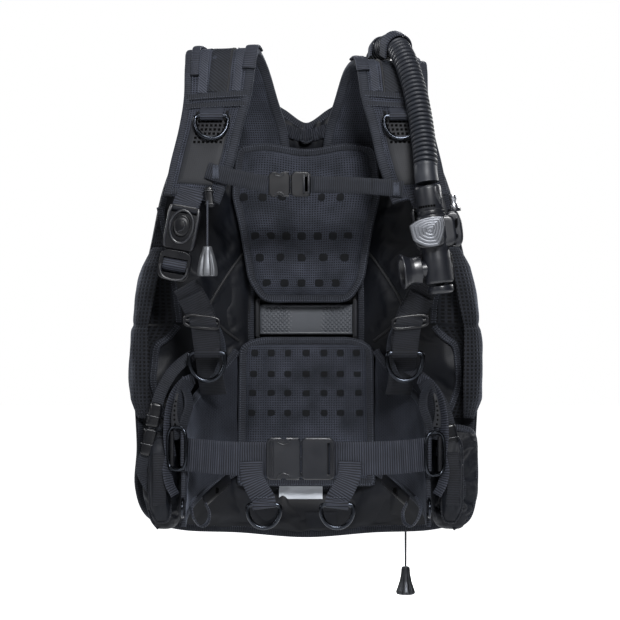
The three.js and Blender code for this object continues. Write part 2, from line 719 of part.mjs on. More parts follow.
function tankBand() {
  const reach = bandMiddle;
  const path = new THREE.CatmullRomCurve3([
    [0, plateFront - 4], [40, plateFront - 4], [57, plateFront - 3.4], [slotX, -3], [67, 9], [76, 28],
    [89, 56], [reach, tankRadius], [0.86 * reach, tankRadius + 0.51 * reach],
    [0.5 * reach, tankRadius + 0.866 * reach], [0.2 * reach, tankRadius + 0.98 * reach],
  ].map(([x, y]) => new THREE.Vector3(x, y, 0)));
  const half = path.getPoints(13);
  const loop = [...half, new THREE.Vector3(0, tankRadius + reach, 0),
    ...half.slice(1).reverse().map((p) => new THREE.Vector3(-p.x, p.y, 0))];
  const steps = loop.length;
  add('tank_band', hoop(steps, 4, (u, v) => {
    const i = Math.round(u * steps);
    const along = loop[(i + 1) % steps].clone().sub(loop[(i + steps - 1) % steps]).normalize();
    const corner = Math.round(v * 4);
    const out = (corner === 1 || corner === 2 ? 0.5 : -0.5) * bandThick;
    const up = (corner < 2 ? 0.5 : -0.5) * bandWidth;
    return [loop[i].x + along.y * out, loop[i].y - along.x * out, bandHeight + up];
  }), webbing);
  camBuckle();
}

function camBuckle() {
  const base = camRear + gap + 0.5;
  const plate = plateOf(roundedOutline(camWidth, bandWidth + 14, 6), base, base + 4, 0, 2);
  const ears = [-1, 1].map((side) => (
    box(-camWidth / 2 + 8, base + 7, side * (bandWidth / 2 + 4.5), 14, 14, 5)));
  const slots = [8, 22].map((x) => box(x, base, 0, 5, 20, bandWidth));
  const pin = new THREE.CylinderGeometry(2.5 + gap, 2.5 + gap, 100, 10).rotateX(Math.PI / 2);
  pin.translate(-camWidth / 2 + 8, base + 10, 0);
  const frame = cut(joined(plate, ...ears), ...slots, pin);
  add('cam_frame', frame.translate(0, 0, bandHeight), moulding);
  const lever = plateOf(roundedOutline(leverLength, bandWidth + 2, 8), base + 7, base + 12, 1, 2);
  lever.translate(leverLength / 2 - camWidth / 2 + 5, 0, 0);
  const axle = new THREE.CylinderGeometry(2.5, 2.5, bandWidth + 14, 10).rotateX(Math.PI / 2);
  axle.translate(-camWidth / 2 + 8, base + 10, 0);
  add('cam_lever', joined(lever, axle).translate(0, 0, bandHeight), moulding);
}

// ---- Corrugated hose, its elbow on the left shoulder and the power inflator ----

const hosePath = [
  [100, 24, 326], [100, 23, 347], [102, 12, 371], [106, -10, 393], [112, -33, 411], [121, -62, 423],
  [131, -90, 427], [140, -115, 421], [148, -138, 405], [156, -158, 381], [163, -176, 353], [168, -192, 325],
  [172, -206, 297], [175, -221, 267], [177, -234, 241], [177.4, -243, 217], [179, -245, 203],
];
const inflatorAt = [191, -245, 110];
const inflatorLean = -0.131;

function hoseAndElbow() {
  add('hose', tidy(cable(hosePath, hoseRadius, 22, 5)), rubber);
  const [x, y, z] = hosePath[0];
  const seat = cellRearUnder(x, z - 40, valveRadius);
  const base = new THREE.CylinderGeometry(valveRadius, valveRadius, 6, 16).translate(0, seat + 3.4, 0);
  base.translate(x, 0, z - 40);
  const bendPath = [[x, seat + 4, z - 40], [x, seat + 16, z - 38], [x, y, z - 26], [x, y, z - 12],
    [x, y, z - 1.5]];
  add('hose_elbow', joined(base, tidy(cable(bendPath, hoseRadius - 0.5, 8, 5))), moulding);
}

function inflator() {
  const group = new THREE.Group();
  group.position.set(...inflatorAt);
  group.rotation.y = inflatorLean;
  vest.add(group);
  const bottom = -56;
  const stem = 7;
  const tube = lathe([[0, bottom], [tubeRadius - 2, bottom], [tubeRadius, bottom + 3], [tubeRadius, 0],
    [tubeRadius + 2, 4], [tubeRadius + 2, 40], [cuffRadius, 46], [cuffRadius, 87], [cuffRadius - 2, 89],
    [0, 89]], 16).rotateX(Math.PI / 2);
  const housing = plateOf(roundedOutline(26, 54, 8), -12, 12, 2, 2).translate(30, 0, 21);
  const block = box(-8, -20, 19, 46, 14, 42);
  const port = new THREE.CylinderGeometry(13, 13, 16, 12).rotateZ(Math.PI / 2).translate(-19, 0, -32);
  const portBore = new THREE.CylinderGeometry(7, 7, 34, 12).rotateZ(Math.PI / 2).translate(-19, 0, -32);
  const stemBore = new THREE.CylinderGeometry(stem + gap, stem + gap, 26, 12).rotateX(Math.PI / 2);
  stemBore.translate(0, 0, bottom);
  const buttonBore = new THREE.CylinderGeometry(stem + gap, stem + gap, 16, 12).translate(-8, -28, 19);
  const body = joined(tube, housing, block, port);
  add('inflator_body', cut(body, portBore, stemBore, buttonBore), moulding, group);
  const nippleProfile = [[0, 48.4], [6.5, 48.4], [6.5, 56], [4.6, 58], [4.6, 64], [5.6, 66], [5.6, 72], [0, 72]];
  add('inflator_nipple', tidy(lathe(nippleProfile, 12).rotateX(Math.PI / 2).translate(35, 0, 0)), chrome, group);
  const shield = new THREE.Shape();
  shield.moveTo(-27, 14);
  shield.quadraticCurveTo(-10, 26, 22, 22);
  shield.quadraticCurveTo(30, 4, 12, -20);
  shield.quadraticCurveTo(-8, -24, -24, -8);
  shield.closePath();
  const face = plateOf(shield, -38, -30.5, 2, 5).translate(-9, 0, 19);
  const buttonStem = new THREE.CylinderGeometry(stem, stem, 10, 12).translate(-8, -27.5, 19);
  add('inflate_button', joined(face, buttonStem), silver, group);
  const capTop = bottom - buttonTravel - 1;
  const cap = lathe([[0, capTop - 12], [tubeRadius - 4, capTop - 12], [tubeRadius - 2, capTop - 9],
    [tubeRadius - 2, capTop], [stem, capTop], [stem, capTop + 12], [0, capTop + 12]], 16);
  add('deflate_button', tidy(cap.rotateX(Math.PI / 2)), moulding, group);
  const lip = lathe([[8, 0], [15, 0], [14, 10], [20, 20], [20, 23], [14, 23], [9, 14], [8, 0]], 14);
  lip.rotateZ(Math.PI / 2).scale(1, 0.8, 1.25).rotateZ(0.25).translate(-32, -1, -32);
  add('mouthpiece', tidy(lip), rubber, group);
}

// ---- Dump valves, their poppets and the pull cords with fluted knobs ----

const shoulderValveAt = [-150, 262];
const lowerValveAt = [160, -288];

function valve(name, [x, z]) {
  const seat = cellRearUnder(x, z, valveRadius + 2) + gap;
  const [r, hole] = [valveRadius, 8];
  const body = lathe([[14, 0], [r + 2, 0], [r + 2, 4], [r - 4, 6], [r - 4, 16], [hole, 18], [hole, 15],
    [r - 8, 13], [r - 8, 5], [14, 5], [14, 0]], 14);
  const mesh = add(`${name}_valve`, tidy(body), moulding);
  mesh.position.set(x, seat, z);
  const disc = lathe([[0, 5.5], [17, 5.5], [17, 8], [5, 9.5], [5, 21], [0, 21]], 10);
  add(`${name}_poppet`, tidy(disc), rubber).position.set(x, seat, z);
  return seat;
}

// A cone whose skirt is cut into flutes, hanging from its narrow top at the origin.
function knob() {
  const profile = [[0, 0], [6, 0], [7, -4], [7.5, -12], [knobRadius - 3, -knobLength + 12],
    [knobRadius, -knobLength + 5], [knobRadius - 3, -knobLength], [0, -knobLength]];
  const body = lathe(profile, 12).rotateX(Math.PI / 2);
  const flutes = Array.from({ length: 6 }, (_, i) => {
    const angle = (i / 6) * 2 * Math.PI;
    const groove = new THREE.CylinderGeometry(2, 2, knobLength, 4).rotateX(Math.PI / 2 + 0.28);
    return groove.translate(0, -knobRadius + 1.2, -knobLength / 2 - 6).rotateZ(angle);
  });
  return cut(body, ...flutes);
}

const shoulderCordX = -147;
const shoulderCordY = -219;
const shoulderCordTop = 178;
const shoulderKnobTop = 110;
const lowerKnobTop = -398;

function cordGuide() {
  const guide = box(shoulderCordX + 2, shoulderCordY + 12, shoulderCordTop + 6, 14, 32, 11);
  return guide;
}

function pulls() {
  const cordY = valve('lower', lowerValveAt) + 10;
  valve('shoulder', shoulderValveAt);
  const lowerTop = lowerValveAt[1] - valveRadius - 3;
  const runs = [
    ['shoulder', shoulderCordX, shoulderCordY, shoulderCordTop, shoulderKnobTop],
    ['lower', lowerValveAt[0], cordY, lowerTop, lowerKnobTop],
  ];
  for (const [name, x, y, top, bottom] of runs) {
    const points = [[x, y, top], [x, y, (top + bottom) / 2], [x, y, bottom + gap]];
    add(`${name}_cord`, tidy(cable(points, cordRadius, 3, 4)), webbing);
    add(`${name}_knob`, knob(), silver).position.set(x, y, bottom);
  }
}

airCell();
hardBack();
pads();
wings();
gussets();
pockets();
shoulders();
shoulderBuckles();
lowerWebbing();
chestStrap();
waistBelt();
grabHandle();
tankBand();
hoseAndElbow();
inflator();
pulls();

export default vest;
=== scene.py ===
import json
from math import cos, pi, radians, sin

import bmesh
import bpy
import numpy as np
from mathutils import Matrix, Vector
from mathutils.bvhtree import BVHTree

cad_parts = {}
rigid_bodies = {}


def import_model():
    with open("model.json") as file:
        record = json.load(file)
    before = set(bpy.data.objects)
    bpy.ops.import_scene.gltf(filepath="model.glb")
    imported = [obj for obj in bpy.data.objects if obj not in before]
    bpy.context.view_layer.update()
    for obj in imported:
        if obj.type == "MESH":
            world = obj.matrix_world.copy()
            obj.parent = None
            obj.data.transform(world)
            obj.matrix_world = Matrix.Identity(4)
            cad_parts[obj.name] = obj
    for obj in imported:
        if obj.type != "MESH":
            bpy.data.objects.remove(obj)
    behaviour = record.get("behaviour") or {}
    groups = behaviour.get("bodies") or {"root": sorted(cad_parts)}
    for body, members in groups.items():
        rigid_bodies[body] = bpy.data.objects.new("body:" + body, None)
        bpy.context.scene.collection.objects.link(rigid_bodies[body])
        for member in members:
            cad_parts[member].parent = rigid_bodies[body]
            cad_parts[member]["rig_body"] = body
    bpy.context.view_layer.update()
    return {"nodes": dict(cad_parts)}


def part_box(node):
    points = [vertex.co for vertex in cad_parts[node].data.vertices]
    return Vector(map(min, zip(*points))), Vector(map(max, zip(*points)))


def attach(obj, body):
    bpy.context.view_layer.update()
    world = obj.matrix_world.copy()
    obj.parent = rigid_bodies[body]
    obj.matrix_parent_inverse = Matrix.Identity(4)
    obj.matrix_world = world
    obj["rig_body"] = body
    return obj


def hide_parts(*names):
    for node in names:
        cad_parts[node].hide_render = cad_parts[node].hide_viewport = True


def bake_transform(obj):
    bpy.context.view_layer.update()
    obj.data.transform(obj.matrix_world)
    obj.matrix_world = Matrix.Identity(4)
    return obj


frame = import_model()
scene = bpy.context.scene
sides = {"right": -1, "left": 1}  # the wearer's own sides; left is +X
print("frame loaded")

# Camera, floor and lights. Everything below the scene is worked out in millimetres.
view = {"place": (0.006, -3.2, 0.015), "turn": (pi / 2, 0, 0), "lens": 116.1, "sensor": 36}
stage = {"floor": -0.8, "reach": 14, "floorColour": "#f4f5f6", "sky": "#ffffff", "skyLight": 0.04,
    "floorGlow": 1.0, "contrast": 0.85}
lamps = {
    # name: place, size in metres, power in watts
    "keyLamp": ((0.5, -2.9, 1.55), 0.8, 126),
    "fillLamp": ((-2.6, -2.0, 1.0), 1.0, 26),
    "topLamp": ((0.1, -0.7, 2.7), 0.9, 36),
    "rimLampLeft": ((2.0, 1.3, 1.0), 1.0, 34),
    "rimLampRight": ((-2.0, 1.3, 1.0), 1.0, 34),
    "rearLamp": ((0.5, 2.8, 1.5), 1.0, 70),
}


def toLinear(colour):
    # sRGB hex to linear: a straight part near black, a power of 2.4 above it
    parts = [int(colour[i:i + 2], 16) / 255 for i in (1, 3, 5)]
    return [c / 12.92 if c <= 0.04045 else ((c + 0.055) / 1.055) ** 2.4 for c in parts] + [1]


def addNode(tree, kind, settings=None, inputs=None):
    made = tree.nodes.new("ShaderNode" + kind)
    for key, value in (settings or {}).items():
        setattr(made, key, value)
    for key, value in (inputs or {}).items():
        if isinstance(value, bpy.types.NodeSocket):
            tree.links.new(value, made.inputs[key])
        else:
            made.inputs[key].default_value = value
    return made


def setStage():
    lens = bpy.data.cameras.new("camera")
    lens.lens = view["lens"]
    lens.sensor_width = view["sensor"]
    lens.clip_end = 60
    camera = bpy.data.objects.new("camera", lens)
    camera.location = view["place"]
    camera.rotation_euler = view["turn"]
    scene.collection.objects.link(camera)
    scene.camera = camera
    for name, (place, size, power) in lamps.items():
        data = bpy.data.lights.new(name, "AREA")
        data.shape = "DISK"
        data.size = size
        data.energy = power
        lamp = bpy.data.objects.new(name, data)
        lamp.location = place
        lamp.rotation_euler = (-Vector(place)).to_track_quat("-Z", "Y").to_euler()
        scene.collection.objects.link(lamp)
    # The sky looks white and lights the vest more softly than it looks.
    world = bpy.data.worlds.new("sky")
    scene.world = world
    world.use_nodes = True
    tree = world.node_tree
    tree.nodes.clear()
    path = addNode(tree, "LightPath")
    seen = addNode(tree, "Background", None, {"Color": toLinear(stage["sky"]), "Strength": 1})
    lit = addNode(tree, "Background", None, {"Color": toLinear(stage["sky"]),
        "Strength": stage["skyLight"]})
    both = addNode(tree, "MixShader", None, {0: path.outputs["Is Camera Ray"], 1: lit.outputs[0],
        2: seen.outputs[0]})
    addNode(tree, "OutputWorld", None, {"Surface": both.outputs[0]})
    scene.view_settings.view_transform = "Standard"
    scene.view_settings.gamma = stage["contrast"]
    # A flat round floor in rings: radius grows with the square of the ring's number.
    t = np.linspace(0, 1, 40) ** 2
    radius = stage["reach"] * t
    height = stage["floor"] + 0 * t
    turn = roundAngles(64)
    rows = np.stack([radius[:, None] * np.cos(turn), radius[:, None] * np.sin(turn),
        height[:, None] + 0 * turn], 2)[1:]
    nu, nv = rows.shape[:2]
    faces, _ = latticeFaces(nu, nv, False, True)
    mesh = bpy.data.meshes.new("floor")
    mesh.from_pydata(rows.reshape(-1, 3), [], faces.tolist() + [list(range(nv))])
    floor = bpy.data.objects.new("floor", mesh)
    scene.collection.objects.link(floor)
    paint = bpy.data.materials.new("matt floor paint")
    paint.use_nodes = True
    shader = paint.node_tree.nodes["Principled BSDF"]
    shader.inputs["Base Color"].default_value = toLinear(stage["floorColour"])
    shader.inputs["Roughness"].default_value = 0.9
    shader.inputs["Specular IOR Level"].default_value = 0.1
    # Seen straight from the camera the floor glows a little, so that it meets the sky without a line.
    path = addNode(paint.node_tree, "LightPath")
    glow = addNode(paint.node_tree, "Math", {"operation": "MULTIPLY"},
        {0: path.outputs["Is Camera Ray"], 1: stage["floorGlow"]})
    paint.node_tree.links.new(glow.outputs[0], shader.inputs["Emission Strength"])
    shader.inputs["Emission Color"].default_value = toLinear(stage["sky"])
    mesh.materials.append(paint)


def latticeFaces(nu, nv, closeU=False, closeV=False):
    # Quads of a grid, with the (u, v) place of each corner for the texture map.
    i = np.arange(nu if closeU else nu - 1)
    j = np.arange(nv if closeV else nv - 1)
    i, j = (a.ravel() for a in np.meshgrid(i, j, indexing="ij"))
    corners = [(i, j), (i + 1, j), (i + 1, j + 1), (i, j + 1)]
    faces = np.stack([(a % nu) * nv + b % nv for a, b in corners], 1)
    return faces, np.stack([np.stack(c, 1) for c in corners], 1)


def gridLengths(points, axis, closed):
    # Mean running length along one way of the grid, in metres.
    rolled = np.roll(points, -1, axis=axis)
    steps = np.linalg.norm(rolled - points, axis=2).mean(1 - axis)
    if not closed:
        steps = steps[:-1]
    return np.concatenate([[0], np.cumsum(steps)]) / 1000


def makePiece(name, points, faces, material, maps=None, crease=40):
    mesh = bpy.data.meshes.new(name)
    mesh.from_pydata((np.asarray(points, float) / 1000).tolist(), [], [list(map(int, f)) for f in faces])
    if maps is not None:
        layer = mesh.uv_layers.new(name="cloth")
        layer.data.foreach_set("uv", np.asarray(maps, np.float32).ravel())
    # Turned outwards if its signed volume comes out negative.
    mesh.calc_loop_triangles()
    tris = np.zeros(3 * len(mesh.loop_triangles), int)
    mesh.loop_triangles.foreach_get("vertices", tris)
    corners = np.asarray(points, float)[tris.reshape(-1, 3)]
    if np.einsum("ij,ij->", corners[:, 0], np.cross(corners[:, 1], corners[:, 2])) < 0:
        mesh.flip_normals()
    mesh.polygons.foreach_set("use_smooth", [True] * len(mesh.polygons))
    if crease < 180:
        mesh.set_sharp_from_angle(angle=radians(crease))
    mesh.materials.append(material)
    piece = bpy.data.objects.new(name, mesh)
    scene.collection.objects.link(piece)
    return piece


def tubeMesh(name, points, material, closed=False, crease=50):
    # A grid closed round v; its open ends in u are closed by a fan to a middle point.
    nu, nv = points.shape[:2]
    faces, places = latticeFaces(nu, nv, closed, True)
    along = gridLengths(points, 0, closed)
    across = gridLengths(points, 1, True)
    maps = np.stack([across[places[..., 1]], along[places[..., 0]]], 2).reshape(-1, 2)
    flat = points.reshape(-1, 3)
    if closed:
        return makePiece(name, flat, faces, material, maps, crease)
    poles = np.stack([points[0].mean(0), points[-1].mean(0)])
    j = np.arange(nv)
    nextJ = (j + 1) % nv
    low = np.stack([j, nextJ, 0 * j + nu * nv], 1)
    high = np.stack([(nu - 1) * nv + nextJ, (nu - 1) * nv + j, 0 * j + nu * nv + 1], 1)
    capMaps = np.zeros((6 * nv, 2))
    capMaps[:, 0] = 0.001
    return makePiece(name, np.concatenate([flat, poles]), faces.tolist() + low.tolist() + high.tolist(),
        material, np.concatenate([maps, capMaps]), crease)


def slabMesh(name, top, bottom, material, crease=60):
    # A closed slab between two grids of one size.
    points = np.concatenate([top, bottom[:, ::-1]], 1)
    nu, nv = points.shape[:2]
    half = nv // 2
    faces, places = latticeFaces(nu, nv, False, True)
    along = gridLengths(points, 0, False)
    across = gridLengths(points, 1, True)
    maps = np.stack([across[places[..., 1]], along[places[..., 0]]], 2).reshape(-1, 2)
    j = np.arange(half - 1)
    low = np.stack([j, j + 1, nv - 2 - j, nv - 1 - j], 1)
    high = (nu - 1) * nv + low[:, [1, 0, 3, 2]]
    ends = np.concatenate([low, high])
    endMaps = np.stack([across[ends % nv], np.where(ends < nv, 0, along[-1])], 2).reshape(-1, 2)
    return makePiece(name, points.reshape(-1, 3), np.concatenate([faces, ends]), material,
        np.concatenate([maps, endMaps]), crease)


def joinPieces(name, parts):
    # Several meshes made one, keeping maps and materials.
    with bpy.context.temp_override(active_object=parts[0], selected_objects=parts,
            selected_editable_objects=parts, object=parts[0]):
        bpy.ops.object.join()
    parts[0].name = name
    parts[0].data.name = name
    return parts[0]


def curveAt(points, u, closed=False):
    # Catmull-Rom through the points, u running from 0 to 1 by their count.
    p = np.asarray(points, float)
    if closed:
        p = np.vstack([p[-1:], p, p[:2]])
    else:
        p = np.vstack([2 * p[0] - p[1], p, 2 * p[-1] - p[-2]])
    spans = len(p) - 3
    t = np.asarray(u, float) * spans
    i = np.clip(t.astype(int), 0, spans - 1)
    f = (t - i)[..., None]
    a, b, c, d = p[i], p[i + 1], p[i + 2], p[i + 3]
    return 0.5 * (2 * b + (c - a) * f + (2 * a - 5 * b + 4 * c - d) * f ** 2 + (3 * b - a - 3 * c + d)
        * f ** 3)


def evenly(points, count, closed=False):
    # Points at equal steps along a run of close points.
    if closed:
        points = np.vstack([points, points[:1]])
    walked = np.concatenate([[0], np.cumsum(np.linalg.norm(np.diff(points, axis=0), axis=1))])
    wanted = np.linspace(0, walked[-1], count + 1)[:-1] if closed else np.linspace(0, walked[-1], count)
    return np.stack([np.interp(wanted, walked, points[:, k]) for k in range(points.shape[1])], 1)


def curveThrough(points, count, closed=False):
    fine = curveAt(points, np.linspace(0, 1, 40 * len(points) + 1), closed)
    if closed:
        fine = fine[:-1]
    return evenly(fine, count, closed)


def lengthOf(points):
    return float(np.linalg.norm(np.diff(points, axis=0), axis=1).sum())


def unit(v):
    return v / np.maximum(np.linalg.norm(v, axis=-1, keepdims=True), 1e-9)


def roundAngles(count):
    return np.linspace(0, 2 * pi, count, endpoint=False)


def squared(part, power):
    # A cosine or sine pulled towards -1 and 1, so that its circle turns into a rounded square.
    return np.sign(part) * np.abs(part) ** power


def boxOf(node):
    # Lowest and highest corner of a frame part in millimetres.
    return (1000 * np.array(c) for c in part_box(node))


def tangents(path, closed=False):
    if closed:
        return unit(np.roll(path, -1, 0) - np.roll(path, 1, 0))
    return unit(np.gradient(path, axis=0))


def sweptPoints(path, section, across, closed=False):
    # A section of (across, out) carried along the path; out stands square to both.
    along = tangents(path, closed)
    across = np.broadcast_to(np.asarray(across, float), path.shape)
    across = unit(across - along * (across * along).sum(1, keepdims=True))
    out = np.cross(along, across)
    return path[:, None] + section[..., 0:1] * across[:, None] + section[..., 1:2] * out[:, None]


def roundSection(radius, count=16):
    a = roundAngles(count)
    return radius * np.stack([np.cos(a), np.sin(a)], 1)


def flatSection(width, thick, count=4, across=3):
    # Two flat faces joined by half-round edges.
    a = np.linspace(-pi / 2, pi / 2, count)
    edge = np.stack([(width - thick) / 2 + thick / 2 * np.cos(a), thick / 2 * np.sin(a)], 1)
    top = np.linspace(1, -1, across + 2)[1:-1] * (width - thick) / 2
    face = np.stack([top, top * 0 + thick / 2], 1)
    return np.concatenate([edge, face, -edge, -face])


def softSection(width, thick, power=3, count=24):
    # A squared ellipse, for bound edges and stuffed straps.
    a = roundAngles(count)
    c, s = np.cos(a), np.sin(a)
    return np.stack([width / 2 * squared(c, 2 / power), thick / 2 * squared(s, 2 / power)], 1)


def sweep(name, path, section, across, material, closed=False, crease=50):
    return tubeMesh(name, sweptPoints(path, section, across, closed), material, closed, crease)


def ribbon(name, points, across, width, thick, material, steps=40):
    return sweep(name, curveThrough(points, steps), flatSection(width, thick), across, material)


def lathePoints(profile, count=48):
    # Radius and height pairs turned round Z.
    p = np.asarray(profile, float)
    a = roundAngles(count)
    return np.stack([p[:, :1] * np.cos(a), p[:, :1] * np.sin(a), p[:, 1:] + 0 * a], 2)


def filleted(profile, radius=1.0, steps=3):
    # Each inner corner of a profile rounded by a short quadratic arc.
    p = np.asarray(profile, float)
    made = [p[0]]
    for before, corner, after in zip(p[:-2], p[1:-1], p[2:]):
        a, b = before - corner, after - corner
        reach = min(radius, np.linalg.norm(a) / 2.2, np.linalg.norm(b) / 2.2)
        start, end = corner + a / np.linalg.norm(a) * reach, corner + b / np.linalg.norm(b) * reach
        t = np.linspace(0, 1, steps + 1)[:, None]
        made.extend((1 - t) ** 2 * start + 2 * t * (1 - t) * corner + t ** 2 * end)
    made.append(p[-1])
    return np.asarray(made)


def turned(points, axis, angle):
    c, s = cos(angle), sin(angle)
    i, j = {"x": (1, 2), "y": (2, 0), "z": (0, 1)}[axis]
    made = np.array(points, float)
    made[..., i] = c * points[..., i] - s * points[..., j]
    made[..., j] = s * points[..., i] + c * points[..., j]
    return made


def stitchRow(name, path, out, material, pitch=4.2, length=2.7, width=0.9, rise=0.5):
    # Low eight-cornered beads of thread laid end to end along a path.
    count = max(2, int(lengthOf(path) / pitch))
    fine = evenly(np.hstack([path, np.broadcast_to(out, path.shape)]), 2 * count + 1)[1::2]
    places, out = fine[:, :3], unit(fine[:, 3:])
    along = tangents(places)
    across = unit(np.cross(out, along))
    x = np.array([-1, -0.45, 0.45, 1]) * length / 2
    bead = np.array([(a, b * width / 2 * w, h * rise * w) for a, w in zip(x, (0.35, 1, 1, 0.35)) for b,
        h in ((-1, -0.4), (-0.6, 1), (0.6, 1), (1, -0.4))])
    points = (places[:, None] + bead[:, 0:1] * along[:, None] + bead[:, 1:2] * across[:, None]
        + bead[:, 2:3] * out[:, None])
    strip = [(4 * a + b, 4 * a + (b + 1) % 4, 4 * a + 4 + (b + 1) % 4, 4 * a + 4 + b) for a in range(3)
        for b in range(4)]
    block = np.array(strip + [(3, 2, 1, 0), (12, 13, 14, 15)])
    faces = (np.arange(len(places))[:, None, None] * 16 + block).reshape(-1, 4)
    maps = np.zeros((faces.size, 2))
    return makePiece(name, points.reshape(-1, 3), faces, material, maps)


def discRow(name, places, normals, radius, rise, material, stretch=1.0, power=1.0):
    # Shallow domes of twenty sides, one at each place; a power under one squares them off.
    places, normals = np.asarray(places, float), unit(np.asarray(normals, float))
    across = unit(np.cross(normals, (0, 0, 1)))
    up = np.cross(across, normals)
    a = roundAngles(20)
    wide = squared(np.cos(a), power) * radius * stretch
    tall = squared(np.sin(a), power) * radius
    rings = [(1.0, -0.8), (1.0, 0.25), (0.7, 0.8)]
    local = np.array([(r * p, r * q, h * rise) for r, h in rings for p, q in zip(wide, tall)]
        + [(0, 0, rise), (0, 0, -0.8 * rise)])
    points = (places[:, None] + local[:, 0:1] * across[:, None] + local[:, 1:2] * up[:, None]
        + local[:, 2:3] * normals[:, None])
    block = [(20 * k + i, 20 * k + (i + 1) % 20, 20 * k + 20 + (i + 1) % 20, 20 * k + 20 + i)
        for k in range(2) for i in range(20)]
    fans = [(40 + i, 40 + (i + 1) % 20, 60) for i in range(20)] + [((i + 1) % 20, i, 61) for i in range(20)]
    faces = [tuple(n * 62 + c for c in f) for n in range(len(places)) for f in block + fans]
    maps = np.zeros((sum(map(len, faces)), 2))
    return makePiece(name, points.reshape(-1, 3), faces, material, maps)


def fit(piece, body="vest", slot="webbing", *nodes):
    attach(piece, body)
    if nodes:
        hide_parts(*nodes)
    return piece


def finer(piece, levels=1):
    smooth = piece.modifiers.new("finer", "SUBSURF")
    smooth.levels = levels
    smooth.render_levels = levels
    return piece


def cornersOf(piece):
    co = np.zeros(3 * len(piece.data.vertices), np.float32)
    piece.data.vertices.foreach_get("co", co)
    return co.reshape(-1, 3).astype(float) * 1000


def setCorners(piece, points):
    piece.data.vertices.foreach_set("co", (points / 1000).astype(np.float32).ravel())
    piece.data.update()


def puff(piece, held, pressure, cap, grow=0.0, stiff=15, frames=20):
    # Cloth filled with air: held is 1 where a seam keeps the fabric, and no point moves past the cap.
    before = cornersOf(piece)
    group = piece.vertex_groups.new(name="seams")
    for level in np.unique(np.round(held, 1)):
        if level > 0:
            group.add(np.flatnonzero(np.round(held, 1) == level).tolist(), float(level), "REPLACE")
    cloth = piece.modifiers.new("air", "CLOTH")
    settings = cloth.settings
    settings.quality = 5
    settings.mass = 0.3
    settings.tension_stiffness = stiff
    settings.compression_stiffness = stiff
    settings.shear_stiffness = stiff / 2
    settings.bending_stiffness = 0.5
    settings.use_pressure = True
    settings.uniform_pressure_force = pressure
    settings.shrink_min = -grow
    settings.vertex_group_mass = "seams"
    settings.pin_stiffness = 2
    settings.effector_weights.gravity = 0
    cloth.point_cache.frame_start = 1
    cloth.point_cache.frame_end = frames
    for step in range(1, frames + 1):
        scene.frame_set(step)
    shown = piece.evaluated_get(bpy.context.evaluated_depsgraph_get())
    co = np.zeros(3 * len(shown.data.vertices), np.float32)
    shown.data.vertices.foreach_get("co", co)
    moved = co.reshape(-1, 3).astype(float) * 1000 - before
    piece.modifiers.remove(cloth)
    piece.vertex_groups.clear()
    scene.frame_set(1)
    far = np.linalg.norm(moved, axis=1, keepdims=True)
    moved *= np.minimum(1, cap / np.maximum(far, 1e-6))
    setCorners(piece, before + moved)
    print(piece.name, "filled, moved up to", round(float(np.minimum(far, cap).max()), 1), "mm")


def seatOf(pieces):
    # Search trees of finished surfaces, for laying small things on them.
    graph = bpy.context.evaluated_depsgraph_get()
    return [BVHTree.FromObject(p, graph) for p in pieces]


def laidOn(trees, points, direction, lift=0.0, reach=200):
    # Each point slides along the direction until it meets a surface; also gives the surface's normal.
    way = Vector(direction).normalized()
    found, normals = [], []
    for x, y, z in np.asarray(points, float) / 1000:
        start = Vector((x, y, z)) - way * reach / 1000
        hits = [t.ray_cast(start, way) for t in trees]
        hits = [h for h in hits if h[0] is not None]
        best = min(hits, key=lambda h: h[3]) if hits else (Vector((x, y, z)), -way)
        normal = best[1] if best[1].dot(way) < 0 else -best[1]
        found.append([1000 * c for c in best[0] + normal * lift / 1000])
        normals.append(list(normal))
    return np.array(found), np.array(normals)


def distanceTo(points, line):
    # Distance in the plane from each point to a line of straight stretches.
    line = np.asarray(line, float)
    a, b = line[:-1], line[1:]
    d = b - a
    rel = points[..., None, :] - a
    t = np.clip((rel * d).sum(-1) / (d * d).sum(-1), 0, 1)
    return np.linalg.norm(rel - t[..., None] * d, axis=-1).min(-1)


def waves(x, z, seed, scale, count=7):
    # A smooth uneven field in -1..1 from a few seeded waves.
    rng = np.random.default_rng(seed)
    angle = rng.uniform(0, 2 * pi, count)
    pace = rng.uniform(0.6, 1.6, count) * 2 * pi / scale
    phase = rng.uniform(0, 2 * pi, count)
    field = sum(np.sin((x * cos(a) + z * sin(a)) * k + p) for a, k, p in zip(angle, pace, phase))
    return field / np.sqrt(count)


def squareRow(name, places, normals, size, rise, material, up=(0, 0, 1)):
    # Small square studs or sockets, one at each place.
    places, normals = np.asarray(places, float), unit(np.asarray(normals, float))
    across = unit(np.cross(normals, up))
    upward = np.cross(across, normals)
    local = np.array([(a * size / 2, b * size / 2, h * rise) for h in (-1, 1) for a,
        b in ((-1, -1), (1, -1), (1, 1), (-1, 1))])
    points = (places[:, None] + local[:, 0:1] * across[:, None] + local[:, 1:2] * upward[:, None]
        + local[:, 2:3] * normals[:, None])
    block = np.array([(0, 3, 2, 1), (4, 5, 6, 7), (0, 1, 5, 4), (1, 2, 6, 5), (2, 3, 7, 6), (3, 0, 4, 7)])
    faces = (np.arange(len(places))[:, None, None] * 8 + block).reshape(-1, 4)
    return makePiece(name, points.reshape(-1, 3), faces, material, np.zeros((faces.size, 2)))


